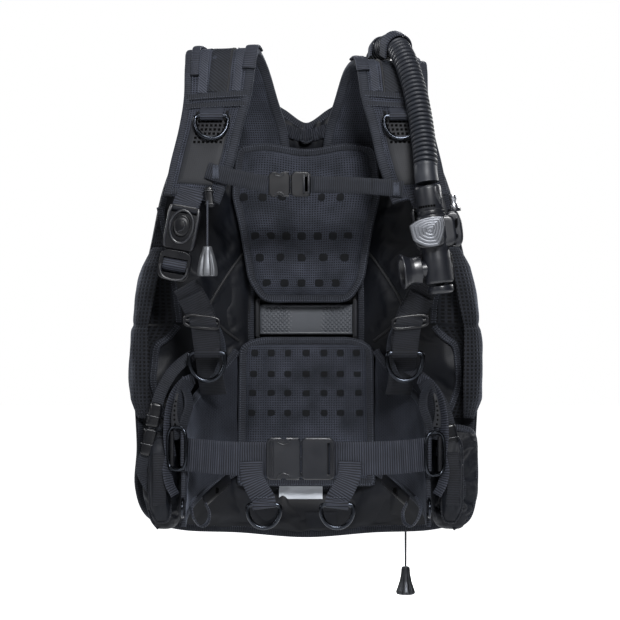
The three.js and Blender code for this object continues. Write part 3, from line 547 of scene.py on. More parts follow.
def crisp(node, slot, material, bevel=0.7, name=None):
    # A moulded part from the frame with its flat faces merged and its edges rounded.
    source = frame["nodes"][node]
    mesh = source.data.copy()
    mesh.name = name or node + "_moulded"
    work = bmesh.new()
    work.from_mesh(mesh)
    bmesh.ops.remove_doubles(work, verts=work.verts, dist=2e-6)
    bmesh.ops.dissolve_limit(work, angle_limit=radians(1.5), verts=work.verts, edges=work.edges)
    work.to_mesh(mesh)
    work.free()
    if "custom_normal" in mesh.attributes:
        mesh.attributes.remove(mesh.attributes["custom_normal"])
    mesh.materials.clear()
    mesh.materials.append(material)
    mesh.polygons.foreach_set("use_smooth", [True] * len(mesh.polygons))
    mesh.set_sharp_from_angle(angle=radians(35))
    piece = bpy.data.objects.new(mesh.name, mesh)
    scene.collection.objects.link(piece)
    if bevel:
        rounding = piece.modifiers.new("rounding", "BEVEL")
        rounding.width = bevel / 1000
        rounding.segments = 2
        rounding.limit_method = "ANGLE"
        rounding.angle_limit = radians(32)
        rounding.harden_normals = True
    return fit(piece, source["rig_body"], slot, node)


# Materials. Patterns on cloth follow the piece's own map in metres; a wave's scale is 314 / its
# spacing in millimetres, since Blender's wave repeats every 0.314 / scale metres.


def startMaterial(name, colour, roughness, metallic=0.0, **sockets):
    made = bpy.data.materials.new(name)
    made.use_nodes = True
    tree = made.node_tree
    shader = tree.nodes["Principled BSDF"]
    shader.inputs["Base Color"].default_value = toLinear(colour)
    shader.inputs["Roughness"].default_value = roughness
    shader.inputs["Metallic"].default_value = metallic
    for key, value in sockets.items():
        shader.inputs[key.replace("_", " ")].default_value = value
    return made, tree, shader


def patchy(tree, shader, vector, low, high, size, detail=3):
    # Slow wear and dye variation between two colours, in patches of a size in millimetres.
    noise = addNode(tree, "TexNoise", None, {"Vector": vector, "Scale": 1000 / size, "Detail": detail,
        "Roughness": 0.6})
    ramp = addNode(tree, "MapRange", None, {0: noise.outputs[0], 1: 0.3, 2: 0.7})
    mix = addNode(tree, "Mix", {"data_type": "RGBA"},
        {0: ramp.outputs[0], 6: toLinear(low), 7: toLinear(high)})
    tree.links.new(mix.outputs[2], shader.inputs["Base Color"])
    return mix


def bumped(tree, shader, height, distance, strength=0.6):
    bump = addNode(tree, "Bump", None, {"Height": height, "Distance": distance / 1000,
        "Strength": strength})
    tree.links.new(bump.outputs[0], shader.inputs["Normal"])
    return bump


def clothMap(tree):
    return addNode(tree, "UVMap", {"uv_map": "cloth"}).outputs[0]


def placeMap(tree):
    return addNode(tree, "TexCoord").outputs["Object"]


def plainWeave(name, low, high, roughness, thread, patch=60, sheen=0.25, shine=0.35, sheenColour="#6d7688"):
    # Two crossed waves of thread; each is drawn coarser than the real 0.3 mm yarn so that it shows.
    made, tree, shader = startMaterial(name, low, roughness, Sheen_Weight=sheen, Sheen_Roughness=0.45,
        Sheen_Tint=toLinear(sheenColour), Specular_IOR_Level=shine)
    place = placeMap(tree)
    cloth = clothMap(tree)
    patchy(tree, shader, place, low, high, patch)
    warp = addNode(tree, "TexWave", {"bands_direction": "X"}, {"Vector": cloth, "Scale": 314 / thread})
    weft = addNode(tree, "TexWave", {"bands_direction": "Y"}, {"Vector": cloth, "Scale": 314 / thread})
    crossed = addNode(tree, "Math", {"operation": "MAXIMUM"}, {0: warp.outputs[1], 1: weft.outputs[1]})
    grain = addNode(tree, "TexNoise", None, {"Vector": place, "Scale": 1000 / 2.2, "Detail": 2})
    total = addNode(tree, "Math", {"operation": "ADD"}, {0: crossed.outputs[0], 1: grain.outputs[0]})
    bumped(tree, shader, total.outputs[0], 0.12, 0.5)
    return made


def ribbedWeb(name, low, high, rib, roughness=0.72, depth=0.35, diagonal=0.0):
    # Flat polyamide webbing: ribs run across it, with a slow moire of tighter and looser picks.
    made, tree, shader = startMaterial(name, low, roughness, Sheen_Weight=0.35, Sheen_Roughness=0.4,
        Sheen_Tint=toLinear("#7d8492"), Specular_IOR_Level=0.3)
    cloth = clothMap(tree)
    tilt = addNode(tree, "Mapping", None, {"Vector": cloth, "Rotation": (0, 0, diagonal)})
    rows = addNode(tree, "TexWave", {"bands_direction": "Y"},
        {"Vector": tilt.outputs[0], "Scale": 314 / rib, "Distortion": 0.6, "Detail": 1})
    threads = addNode(tree, "TexWave", {"bands_direction": "X"},
        {"Vector": tilt.outputs[0], "Scale": 314 / (rib * 0.6)})
    both = addNode(tree, "Math", {"operation": "MULTIPLY_ADD"},
        {0: threads.outputs[1], 1: 0.35, 2: rows.outputs[1]})
    shade = addNode(tree, "Mix", {"data_type": "RGBA"},
        {0: rows.outputs[1], 6: toLinear(low), 7: toLinear(high)})
    wear = addNode(tree, "TexNoise", None, {"Vector": placeMap(tree), "Scale": 40, "Detail": 4})
    worn = addNode(tree, "MapRange", None, {0: wear.outputs[0], 1: 0.35, 2: 0.75, 3: 0.82, 4: 1.16})
    lit = addNode(tree, "Mix", {"data_type": "RGBA", "blend_type": "MULTIPLY"},
        {0: 1.0, 6: shade.outputs[2], 7: worn.outputs[0]})
    tree.links.new(lit.outputs[2], shader.inputs["Base Color"])
    bumped(tree, shader, both.outputs[0], depth, 0.7)
    return made


def knitMesh(name, low, high, hole, pitch, opening, square=True, roughness=0.85, depth=0.8):
    # Warp-knit mesh: holes of an opening in millimetres at a pitch, dark inside, with a raised rim.
    made, tree, shader = startMaterial(name, low, roughness, Sheen_Weight=0.5, Sheen_Roughness=0.5,
        Sheen_Tint=toLinear("#767c8a"), Specular_IOR_Level=0.25)
    cloth = clothMap(tree)
    cells = addNode(tree, "VectorMath", {"operation": "SCALE"}, {0: cloth, 3: 1000 / pitch})
    share = addNode(tree, "VectorMath", {"operation": "FRACTION"}, {0: cells.outputs[0]})
    middle = addNode(tree, "VectorMath", {"operation": "SUBTRACT"},
        {0: share.outputs[0], 1: (0.5, 0.5, 0)})
    if square:
        size = addNode(tree, "VectorMath", {"operation": "ABSOLUTE"}, {0: middle.outputs[0]})
        parts = addNode(tree, "SeparateXYZ", None, {0: size.outputs[0]})
        reach = addNode(tree, "Math", {"operation": "MAXIMUM"},
            {0: parts.outputs[0], 1: parts.outputs[1]})
        reach = reach.outputs[0]
    else:
        flat = addNode(tree, "VectorMath", {"operation": "MULTIPLY"},
            {0: middle.outputs[0], 1: (1, 1, 0)})
        reach = addNode(tree, "VectorMath", {"operation": "LENGTH"}, {0: flat.outputs[0]}).outputs[1]
    edge = opening / pitch / 2
    solid = addNode(tree, "MapRange", {"interpolation_type": "SMOOTHSTEP"},
        {0: reach, 1: edge * 0.75, 2: edge * 1.25})
    grain = addNode(tree, "TexNoise", None, {"Vector": placeMap(tree), "Scale": 25, "Detail": 4})
    worn = addNode(tree, "MapRange", None, {0: grain.outputs[0], 1: 0.3, 2: 0.7})
    face = addNode(tree, "Mix", {"data_type": "RGBA"},
        {0: worn.outputs[0], 6: toLinear(low), 7: toLinear(high)})
    mix = addNode(tree, "Mix", {"data_type": "RGBA"},
        {0: solid.outputs[0], 6: toLinear(hole), 7: face.outputs[2]})
    tree.links.new(mix.outputs[2], shader.inputs["Base Color"])
    bumped(tree, shader, solid.outputs[0], depth, 0.8)
    return made


def moulded(name, colour, roughness, grain=0.9, depth=0.04, **sockets):
    # Injection-moulded plastic with the fine spark-eroded texture of its mould.
    made, tree, shader = startMaterial(name, colour, roughness, **sockets)
    place = placeMap(tree)
    fine = addNode(tree, "TexNoise", None, {"Vector": place, "Scale": 1000 / grain, "Detail": 2})
    slow = addNode(tree, "TexNoise", None, {"Vector": place, "Scale": 30, "Detail": 3})
    gloss = addNode(tree, "MapRange", None, {0: slow.outputs[0], 1: 0.3, 2: 0.7, 3: roughness * 0.85,
        4: min(1, roughness * 1.2)})
    tree.links.new(gloss.outputs[0], shader.inputs["Roughness"])
    bumped(tree, shader, fine.outputs[0], depth, 0.5)
    return made


# Coated 420-denier polyamide: smooth face with a soft bluish sheen over a fine plain weave.
coatedNylon = plainWeave("coated 420 denier nylon", "#0b0d13", "#12151c", 0.54, 2.4, sheen=0.1,
    shine=0.27)
# The tougher 1000-denier cloth of pockets, wings and hem: coarser thread, duller.
packNylon = plainWeave("coated 1000 denier nylon", "#0f1117", "#171a21", 0.6, 4.2, sheen=0.1, shine=0.28)
# Waist wings: a heavier cloth yet, its crossed threads plain to see.
wingCloth = knitMesh("textured waist cloth", "#1c1e25", "#282b33", "#0c0e12", 4.4, 1.7, True, depth=0.5)
# Brushed inner lining, seen where the bag folds behind the webbing.
liningCloth = plainWeave("brushed lining cloth", "#0b0d12", "#11141a", 0.85, 3.0, sheen=0.1)
# Air-mesh face of the pads: tight knit, matt, greyer than the shell.
padKnit = knitMesh("spacer mesh pad face", "#24272e", "#3c3f49", "#090a0d", 3.8, 2.1, False, depth=0.8)
padDot = knitMesh("open mesh behind the pad holes", "#0b0c0f", "#101216", "#050607", 2.2, 1.2, False)
# Side gusset: open knit with square holes of 2.6 mm every 5 mm.
gussetKnit = knitMesh("open square knit", "#17191e", "#202228", "#030304", 6.0, 3.6, True)
# Binding tape: woven edge tape with cross ribs every 2.5 mm, paler than what it binds.
bindingTape = ribbedWeb("ribbed binding tape", "#191b21", "#34373f", 3.4, 0.8, 0.4)
wideWeb = ribbedWeb("ribbed 40 and 50 mm webbing", "#15171c", "#393c46", 3.6, depth=0.5)
# A darker copy of the webbing: its colours are painted shade, for the lower shoulder webbing and the pouch
# trims.
shadedWeb = ribbedWeb("ribbed webbing darkened as painted shade", "#0f1116", "#1e2027", 3.6)
narrowWeb = ribbedWeb("plain 25 mm webbing", "#14161b", "#2a2d35", 3.2, depth=0.4)
twillTape = ribbedWeb("diagonal twill tape", "#121419", "#262930", 4.4, diagonal=0.7)
paleTwill = ribbedWeb("pale diagonal twill tape", "#20232a", "#40434d", 3.6, diagonal=0.7)
elasticBand = ribbedWeb("ribbed elastic", "#14161c", "#2b2e37", 3.6, depth=0.8)
sewingThread = ribbedWeb("bonded polyester thread", "#4c505a", "#636874", 1.0, depth=0.1)
darkThread = ribbedWeb("dark bonded thread", "#0c0d11", "#181a20", 1.0, depth=0.1)
pullCord = ribbedWeb("braided pull cord", "#2a2c33", "#4a4d55", 2.2, depth=0.3, diagonal=0.6)
pipingCord = moulded("wrapped piping", "#121419", 0.6, Sheen_Weight=0.1)
# Acetal buckles: dark with a crisp satin shine. The nylon plate is duller, the hard valves smoother.
acetal = moulded("moulded acetal", "#141519", 0.31, Specular_IOR_Level=0.5)
plateNylon = moulded("glass-filled nylon", "#121419", 0.48, 1.4, 0.08)
glossyAbs = moulded("satin ABS", "#1c1e24", 0.36, Specular_IOR_Level=0.6, Coat_Weight=0.15,
    Coat_Roughness=0.25)
softRubber = moulded("matt EPDM rubber", "#17191e", 0.5, 1.2, 0.06)
hoseRubber = moulded("satin corrugated rubber", "#23262d", 0.5, 1.2, 0.04, Specular_IOR_Level=0.5)
insertBar = moulded("silver-grey elastomer", "#44474d", 0.5, 1.0, 0.05)
bladderFilm = moulded("urethane film", "#1d2026", 0.4, 2.0, 0.06)
silverPaint = moulded("silver-painted ABS", "#686a6f", 0.44, 0.8, 0.02, Metallic=0.65)
# A darker copy of the silver paint, its darkness painted shade, for the lower knob.
shadedSilver = moulded("silver-painted ABS darkened as painted shade", "#45474b", 0.36, 0.8, 0.02, Metallic=0.75)
satinSilver = moulded("satin silver-painted ABS", "#606266", 0.5, 0.8, 0.02, Metallic=0.55)
# Rings are black-oxide steel: the bends are polished by wear, the flats stay dark.
blackSteel = moulded("black-oxide steel", "#3a3d43", 0.26, 0.6, 0.015, Metallic=1.0)
chromePlate = moulded("chromed brass", "#a9abb0", 0.3, 2.0, 0.002, Metallic=1.0)
paleLabel = plainWeave("plain woven label", "#a9adb3", "#b9bcc2", 0.8, 2.0, sheen=0.0)
# Bonded panel of the straps, the blank tabs and rail strips; and near-black painted shade that stands in
# for the inside of holes, slots and sockets.
softPanel = plainWeave("bonded elastomer panel", "#13151a", "#1b1d23", 0.6, 3.2, sheen=0.15)
holeShade = moulded("painted hole shade", "#040405", 0.9, Specular_IOR_Level=0.1)
print("materials made")
setStage()

# The two pull cords: hanging straight from the strap's guide and from the lower valve.
cords = {
    # name: top and bottom in millimetres; depth comes from the frame
    "shoulder": {"x": -147, "top": 178, "bottom": 110.4},
    "lower": {"x": 160, "top": -319, "bottom": -397.6},
}
cordRadius = 1.5


def makeCords():
    for name, run in cords.items():
        low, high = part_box(name + "_cord")
        y = 500 * (low[1] + high[1])
        z = np.linspace(run["top"], run["bottom"], 18)
        path = np.stack([0 * z + run["x"], 0 * z + y, z], 1)
        cord = sweep(name + "PullCord", path, roundSection(cordRadius, 14), (1, 0, 0), pullCord)
        fit(cord, name + "_dump_pull", "pull_cord", name + "_cord")


# Air cell: a ring bag round the back plate, thick at the sides and wrapped forward.
cell = {"halfWidth": 266, "top": 312, "bottom": -346, "flat": 100, "curve": 150, "plane": -12,
    "plump": 0.14, "shoulderPlump": 0.45, "windowHalf": 84, "windowTop": 258, "windowBottom": -262,
    "panel": 2.4, "around": 300, "across": 34, "pressure": 2.2, "cap": 9, "binding": 13, "flange": 9}
cellEdge = [[0, 1], [0.15, 1.035], [0.3, 1.068], [0.46, 1.06], [0.62, 1.005], [0.75, 0.928],
    [0.842, 0.833], [0.906, 0.708], [0.959, 0.602], [1, 0.501], [0.996, 0.343], [0.982, 0.222],
    [0.99, 0.128], [0.925, 0.058], [0.737, 0.023], [0.376, 0.011], [0, 0],]
# Seams of the panels on the left side, as (x, z) lines; the right side mirrors them.
cellSeams = [[(88, 118), (106, 98), (128, 66), (146, 36), (158, 10)], [(108, -34), (128, -18), (148, 2)],
    [(30, 330), (60, 322), (96, 306), (140, 270), (176, 236)]]
rearSeams = [[(96, 262), (150, 250), (196, 205), (228, 120), (238, 30)],
    [(96, -262), (150, -256), (200, -240), (236, -190), (244, -110), (240, -40), (238, 30)],
    [(84, 100), (140, 92), (190, 78), (238, 30)], [(84, -110), (150, -112), (244, -110)]]


def bend(x):
    return -np.maximum(0, np.abs(x) - cell["flat"]) ** 2 / (2 * cell["curve"])


def cellLines(count):
    # Outer edge, window edge and half thickness at equal steps round the ring.
    shares = np.array(cellEdge + [[-x, z] for x, z in cellEdge[-2:0:-1]])
    height = cell["top"] - cell["bottom"]
    outline = np.stack([shares[:, 0] * cell["halfWidth"], cell["bottom"] + shares[:, 1] * height], 1)
    outer = curveThrough(outline, count, True)
    middle = (cell["windowTop"] + cell["windowBottom"]) / 2
    rise = cell["windowTop"] - middle
    angle = np.arctan2((outer[:, 1] - middle) / rise, outer[:, 0] / cell["windowHalf"])
    c, s = np.cos(angle), np.sin(angle)
    squared = (np.abs(c) ** 8 + np.abs(s) ** 8) ** (-1 / 8)
    inner = np.stack([cell["windowHalf"] * c * squared, middle + rise * s * squared], 1)
    breadth = np.linalg.norm(outer - inner, axis=1)
    ease = np.clip(((outer[:, 1] + inner[:, 1]) / 2 - 120) / 130, 0, 1)
    ease = ease * ease * (3 - 2 * ease)
    half = cell["plump"] * breadth * (1 + (cell["shoulderPlump"] - 1) * ease)
    return outer, inner, half


def cellSkin(count, across):
    # Places (x, seam depth, z) and half thickness over the ring, from the window out to the edge.
    outer, inner, half = cellLines(count)
    t = (1 - np.cos(np.linspace(0, pi, across))) / 2
    t = 0.5 * t + 0.5 * np.linspace(0, 1, across)
    flat = inner[:, None] + (outer - inner)[:, None] * t[:, None]
    # A flat seam allowance runs along both edges, where the binding goes on.
    breadth = np.linalg.norm(outer - inner, axis=1)[:, None]
    share = np.clip((t * breadth - cell["flange"]) / (breadth - 2 * cell["flange"]), 0, 1)
    thick = half[:, None] * np.sin(pi * share) ** 0.75
    return flat[..., 0], cell["plane"] + bend(flat[..., 0]), flat[..., 1], thick, t + 0 * thick


def makeCellPanel(name, way, seams, seed):
    x, y, z, thick, t = cellSkin(cell["around"], cell["across"])
    lines = [np.array(s) for s in seams] + [np.array(s) * (-1, 1) for s in seams]
    apart = np.min([distanceTo(np.stack([x, z], -1), s) for s in lines], axis=0)
    edge = np.minimum(t, 1 - t)
    body = np.clip(edge * 6, 0, 1)
    # Soft billows, gathers under the neck elastic and puckers that fade away from each seam.
    billow = 2.0 * waves(x, z, seed, 95) * body
    neck = np.exp(-((z - 300) / 26) ** 2) * np.exp(-(x / 42) ** 2)
    gather = 2.2 * neck * np.sin(x * 2 * pi / 9.5 + 0.4 * np.sin(z / 7))
    pucker = 0.9 * np.exp(-apart / 16) * waves(x, z, seed + 5, 16) * body
    rim = np.sin(2 * pi * np.arange(x.shape[0]) / 4.3)[:, None]
    rimPucker = 1.1 * np.exp(-edge * 26) * rim * body
    groove = 5.5 * np.exp(-(apart / 6.5) ** 2) * body
    lift = thick + 0.4
    outside = lift + cell["panel"] + billow + gather + pucker + rimPucker - groove
    outside = np.maximum(outside, lift + 0.8)
    skin = np.stack([x, y + way * outside, z], -1)
    lining = np.stack([x, y + way * lift, z], -1)[:, ::-1]
    piece = tubeMesh(name + "_cloth", np.concatenate([skin, lining], 1), coatedNylon, True, crease=70)
    covered = ((np.abs(x) < 150) & (z > 226)) | ((np.abs(x) < 118) & (z > -270))
    free = np.clip((apart - 5) / 8, 0, 1) * np.clip(edge * 9 - 0.3, 0, 1)
    free = np.where(covered if way < 0 else (np.abs(x) < 90), 0.1 * free, free)
    held = np.concatenate([1 - free, np.ones_like(free)], 1).ravel()
    puff(piece, held, cell["pressure"], cell["cap"], grow=0.035)
    return fit(finer(piece), "vest", "coated_nylon", name)


def boundRing(name, line, toward, width, thick):
    # Binding tape folded over one edge line of the ring, with its two rows of stitches.
    depth = cell["plane"] + bend(line[:, 0])
    path = np.stack([line[:, 0], depth, line[:, 1]], 1)
    step = unit(toward) * width * 0.4
    shift = np.stack([step[:, 0], bend(line[:, 0] + step[:, 0]) - bend(line[:, 0]), step[:, 1]], 1)
    tape = sweep(name, path + shift, softSection(width, thick, 4, 20), shift, bindingTape, True)
    fit(tape)
    for way in (-1, 1):
        row = path + shift * 1.75 + (0, way * (thick / 2 + 0.1), 0)
        row = np.vstack([row, row[:1]])
        threads = stitchRow(name + ("FrontStitches" if way < 0 else "RearStitches"), row, (0, way, 0),
            sewingThread)
        fit(threads)


def makeCell():
    front = makeCellPanel("air_cell_front", -1, cellSeams, 3)
    rear = makeCellPanel("air_cell_rear", 1, rearSeams, 8)
    outer, inner, _ = cellLines(360)
    boundRing("cellEdgeBinding", outer, inner - outer, cell["binding"], 7.5)
    boundRing("windowBinding", inner, outer - inner, 11, 6.5)
    # Piping laid in the seams.
    frontTree, rearTree = seatOf([front]), seatOf([rear])
    for label, seams, tree, way in (("front", cellSeams, frontTree, (0, 1, 0)),
            ("rear", rearSeams, rearTree, (0, -1, 0))):
        for side, sign in sides.items():
            for number, seam in enumerate(seams):
                if label == "front" and number == 2:
                    continue
                flat = curveThrough([(sign * x, 0, z) for x, z in seam], 46)
                path, _ = laidOn(tree, flat, way, lift=1.2)
                path = evenly(path, 60)
                piping = sweep(f"{label}_piping_{side}_{number}", path, roundSection(2.1, 12), way,
                    pipingCord)
                fit(piping, "vest", "coated_nylon")
    # Ribbed elastic that gathers the neck edge, and a small hanging loop.
    path = curveThrough([(-40, 0, 304), (-20, 0, 296), (0, 0, 292), (20, 0, 296), (40, 0, 304)], 50)
    path, _ = laidOn(frontTree, path, (0, 1, 0), lift=2.0)
    path[:, 1] = np.minimum(path[:, 1], -17) + 0.5 * np.sin(path[:, 0] * 2 * pi / 9.5)
    fit(ribbon("neckElastic", path, (0, 0, 1), 20, 2.2, elasticBand, 90))
    loop = [(-9, -21, 292), (-8, -27, 284), (0, -29, 281), (8, -27, 284), (9, -21, 292)]
    fit(ribbon("neckLoop", loop, (0, 1, 0.4), 7, 1.6, narrowWeb))
    # A plain woven patch on the front of the hem, and a darker blank one beside it.
    for name, left, right, low, high, cloth in (("hemLabel", -43, 26, -286, -263, paleLabel),
            ("hemPatch", 0, 48, -330, -306, packNylon)):
        across, up = np.meshgrid(np.linspace(left, right, 24), np.linspace(low, high, 10), indexing="ij")
        flat = np.stack([across, 0 * across, up], -1)
        face, _ = laidOn(frontTree, flat.reshape(-1, 3), (0, 1, 0), lift=1.3)
        face = face.reshape(flat.shape)
        face[..., 1] = np.median(face[..., 1]) * 0.5 + face[..., 1] * 0.5 - 0.8
        back = face + (0, 1.0, 0)
        fit(slabMesh(name, face, back, cloth), "vest", "coated_nylon")
    bladder = frame["nodes"]["air_bladder"]
    bladder.data.materials.clear()
    bladder.data.materials.append(bladderFilm)
    return front, rear


# Side gussets of open knit between the two skins.
gusset = {"low": -152, "high": 112, "thick": 3, "reach": 5, "pinch": -8}
# Their knit goes on over the front of the cell as far as a bound line, as (z, x) from top to bottom.
flankMesh = {"Upper": [(176, 228), (150, 223), (112, 214), (60, 206), (20, 200), (-6, 198)],
    "Lower": [(-10, 199), (-28, 214), (-42, 230), (-70, 234), (-100, 235), (-126, 228), (-152, 216)]}


def edgeHalfWidth(z):
    share = (z - cell["bottom"]) / (cell["top"] - cell["bottom"])
    flank = np.array(cellEdge[5:14][::-1])
    return np.interp(share, flank[:, 1], flank[:, 0] * cell["halfWidth"])


def makeGussets(front):
    frontTree = seatOf([front])
    for side, sign in sides.items():
        u, v = np.meshgrid(np.linspace(0, 1, 90), np.linspace(0, 1, 50), indexing="ij")
        z = gusset["low"] + (gusset["high"] - gusset["low"]) * u
        edge = edgeHalfWidth(z)
        turn = (-0.5 + 1.75 * v) * pi / 2
        depth = cell["plane"] + bend(edge)
        wave = 0.8 * waves(z, v * 120, 11 + sign, 60)
        # Two lobes, each tapering into the edge of the cell as a lens does, pinched at the seam between.
        pinch = gusset["pinch"]
        lobe = np.where(z > pinch, (z - pinch) / (gusset["high"] - pinch),
            (pinch - z) / (pinch - gusset["low"]))
        full = 0.35 + 0.65 * np.clip(np.sin(pi * lobe), 0, 1) ** 0.5
        full = full * np.clip(np.minimum(u, 1 - u) * 9, 0, 1) ** 0.6

        def wall(w):
            reach = gusset["reach"] + gusset["thick"] * w + wave * w
            x = edge - 12 + (8 + (4 + reach) * full) * np.cos(turn) - 14 * np.maximum(0, v - 0.6)
            y = depth - 8 - (6 + (8 + reach) * full) * np.sin(turn) - 26 * np.maximum(0, v - 0.3) * full
            return np.stack([sign * x, y, z], -1)

        outside, inside = wall(1.0), wall(0.0)
        piece = slabMesh(f"sideGusset_{side}", outside, inside, gussetKnit)
        fit(piece, "vest", "gusset_mesh", f"side_gusset_{side}")
        for label, line in flankMesh.items():
            line = curveThrough([(x, z) for z, x in line], 44)
            s, t = np.meshgrid(np.arange(44), np.linspace(0, 1, 24), indexing="ij")
            z = line[s, 1]
            x = line[s, 0] + (edgeHalfWidth(z) - 1 - line[s, 0]) * t
            flat = np.stack([sign * x, 0 * x, z], -1)
            face, _ = laidOn(frontTree, flat.reshape(-1, 3), (0, 1, 0), lift=2.0)
            face = face.reshape(flat.shape)
            for _ in range(3):
                face[1:-1, :, 1] = (face[:-2, :, 1] + 2 * face[1:-1, :, 1] + face[2:, :, 1]) / 4
                face[:, 1:-1, 1] = (face[:, :-2, 1] + 2 * face[:, 1:-1, 1] + face[:, 2:, 1]) / 4
            back = face + (0, 1.6, 0)
            fit(slabMesh(f"flankMesh{label}_{side}", face, back, gussetKnit), "vest", "gusset_mesh")
            rim = face[:, 0] + (sign * 2, -0.6, 0)
            tape = sweep(f"flankBinding{label}_{side}", rim, softSection(11, 5, 4, 18), (1, 0, 0),
                bindingTape)
            fit(tape)
            for number, shift in enumerate((-3, 3)):
                row = rim + (shift, -2.7, 0)
                fit(stitchRow(f"flankStitches{label}_{side}_{number}", row, (0, -1, 0), sewingThread))


# Pads against the wearer's back: crowned foam in spacer mesh with a bound rim.
pads = {"back_pad": {"bottom": 28, "shape": [[28, 60], [36, 74], [64, 91], [144, 104], [196, 116],
    [252, 111], [282, 104]], "dots": {192.7: (-98, -68, -38, 23, 53), 162: (),
    131.3: (-80, -56, -31, -7, 18, 42, 66), 97.5: (-73, -40, -7, 27, 60), 57.4: (-62, -34, -7, 20, 46)},
    "dotRadius": 6.2}, "lumbar_pad": {"bottom": -262,
    "shape": [[-262, 108], [-60, 105], [-44, 104], [-34, 88], [-29, 70]],
    "dots": {z: (-81 - (z + 53) * -0.05, -55, -29, 0, 28, 54, 79 + (z + 53) * -0.05)
    for z in (-52.6, -85.6, -115.5, -146.9)}, "dotRadius": 5.4},}
padSize = {"rear": -37, "thick": 19, "edge": 5, "binding": 14, "flange": 10, "pressure": 3.5, "cap": 3.5}


def padTop(name, s):
    return 268 + 9 * np.sin(2.45 * s) ** 2 if name == "back_pad" else -29 + 0 * s


def makePads():
    for name, pad in pads.items():
        s, v = np.meshgrid(np.sin(np.linspace(-1, 1, 80) * pi / 2) * 0.35 + np.linspace(-1, 1, 80) * 0.65,
            (1 - np.cos(np.linspace(0, pi, 84))) * 0.175 + np.linspace(0, 1, 84) * 0.65, indexing="ij")
        z = pad["bottom"] + (padTop(name, s) - pad["bottom"]) * v
        shape = np.array(pad["shape"])
        x = s * np.interp(z, shape[:, 0], shape[:, 1])
        # The foam stops short of the rim, and leaves a flat allowance for the binding.
        half = np.interp(z, shape[:, 0], shape[:, 1])
        tall = (padTop(name, s) - pad["bottom"]) / 2
        sFoam = np.clip(np.abs(x) / (half - padSize["flange"]), 0, 1)
        vFoam = np.clip(np.abs(2 * v - 1) * tall / (tall - padSize["flange"]), 0, 1)
        rim = np.clip((1 - sFoam ** 6) * (1 - vFoam ** 9), 0, 1)
        thick = padSize["edge"] + (padSize["thick"] - padSize["edge"]) * np.sqrt(rim)
        if name == "lumbar_pad":
            for line in (-71, 66):
                thick -= 4.2 * np.exp(-((x - line) / 8) ** 2) * rim
        else:
            thick += 1.2 * np.exp(-(x / 30) ** 2) * rim
        front = np.stack([x, padSize["rear"] - thick, z], -1)
        back = np.stack([x, padSize["rear"] + 0 * x, z], -1)
        piece = slabMesh(name + "_foam", front, back, padKnit)
        free = np.clip(rim * 2.2 - 0.35, 0, 0.85)
        held = np.concatenate([1 - free, np.ones_like(free)[:, ::-1]], 1).ravel()
        puff(piece, held, padSize["pressure"], padSize["cap"], grow=0.01)
        finer(piece)
        fit(piece, "vest", "padded_mesh", name)
        tree = seatOf([piece])
        places = [(px, 0, pz) for pz, row in pad["dots"].items() for px in row]
        spots, normals = laidOn(tree, places, (0, 1, 0))
        fit(discRow(name + "_dots", spots, normals, pad["dotRadius"], 0.55, padDot, 1.08, 0.62), "vest",
            "padded_mesh")
        # Bound rim with two rows of stitches.
        middle = (front + back) / 2
        loop = np.concatenate([middle[:, 0], middle[-1, 1:], middle[::-1, -1][1:], middle[0, ::-1][1:-1]])
        loop = evenly(loop, 300, True)
        kernel = np.ones(7) / 7
        wrapped = np.vstack([loop[-3:], loop, loop[:3]])
        loop = np.stack([np.convolve(wrapped[:, k], kernel, "valid") for k in range(3)], 1)
        inward = np.cross(tangents(loop, True), (0, 1, 0))
        if ((loop.mean(0) - loop) * inward).sum() < 0:
            inward = -inward
        tape = loop + inward * padSize["binding"] * 0.4
        tape[:, 1] -= 1.2
        fit(sweep(name + "_binding", tape, softSection(padSize["binding"], 9, 4, 22), inward, bindingTape,
            True))
        for number, reach in enumerate((0.62, 0.12)):
            row = loop + inward * padSize["binding"] * (0.4 + (reach - 0.37))
            row[:, 1] -= 5.9
            row = np.vstack([row, row[:1]])
            fit(stitchRow(f"{name}_stitches_{number}", row, (0, -1, 0), sewingThread
                if number else darkThread))
    print("pads made")


# Waist wings: pack cloth from the lumbar pad round to the belt's side rings.
wing = {"startX": 110, "endX": 184, "points": [(0.0, -43), (0.42, -70), (0.78, -112), (0.96, -158),
    (1.0, -200)]}


def wingSurface(sign, u, v, lift=0.0):
    plan = [(wing["startX"] + share * (wing["endX"] - wing["startX"]), y, 0) for share, y in wing["points"]]
    fine = curveThrough(plan, 120)
    along = tangents(fine)
    pace = np.linspace(0, 1, 120)
    x, y = np.interp(u, pace, fine[:, 0]), np.interp(u, pace, fine[:, 1])
    tx, ty = np.interp(u, pace, along[:, 0]), np.interp(u, pace, along[:, 1])
    top = -45 + (-158 + 45) * u ** 0.75
    bottom = -244 + (-312 + 244) * u
    return np.stack([sign * (x + ty * lift), y - tx * lift, bottom + (top - bottom) * v], -1)


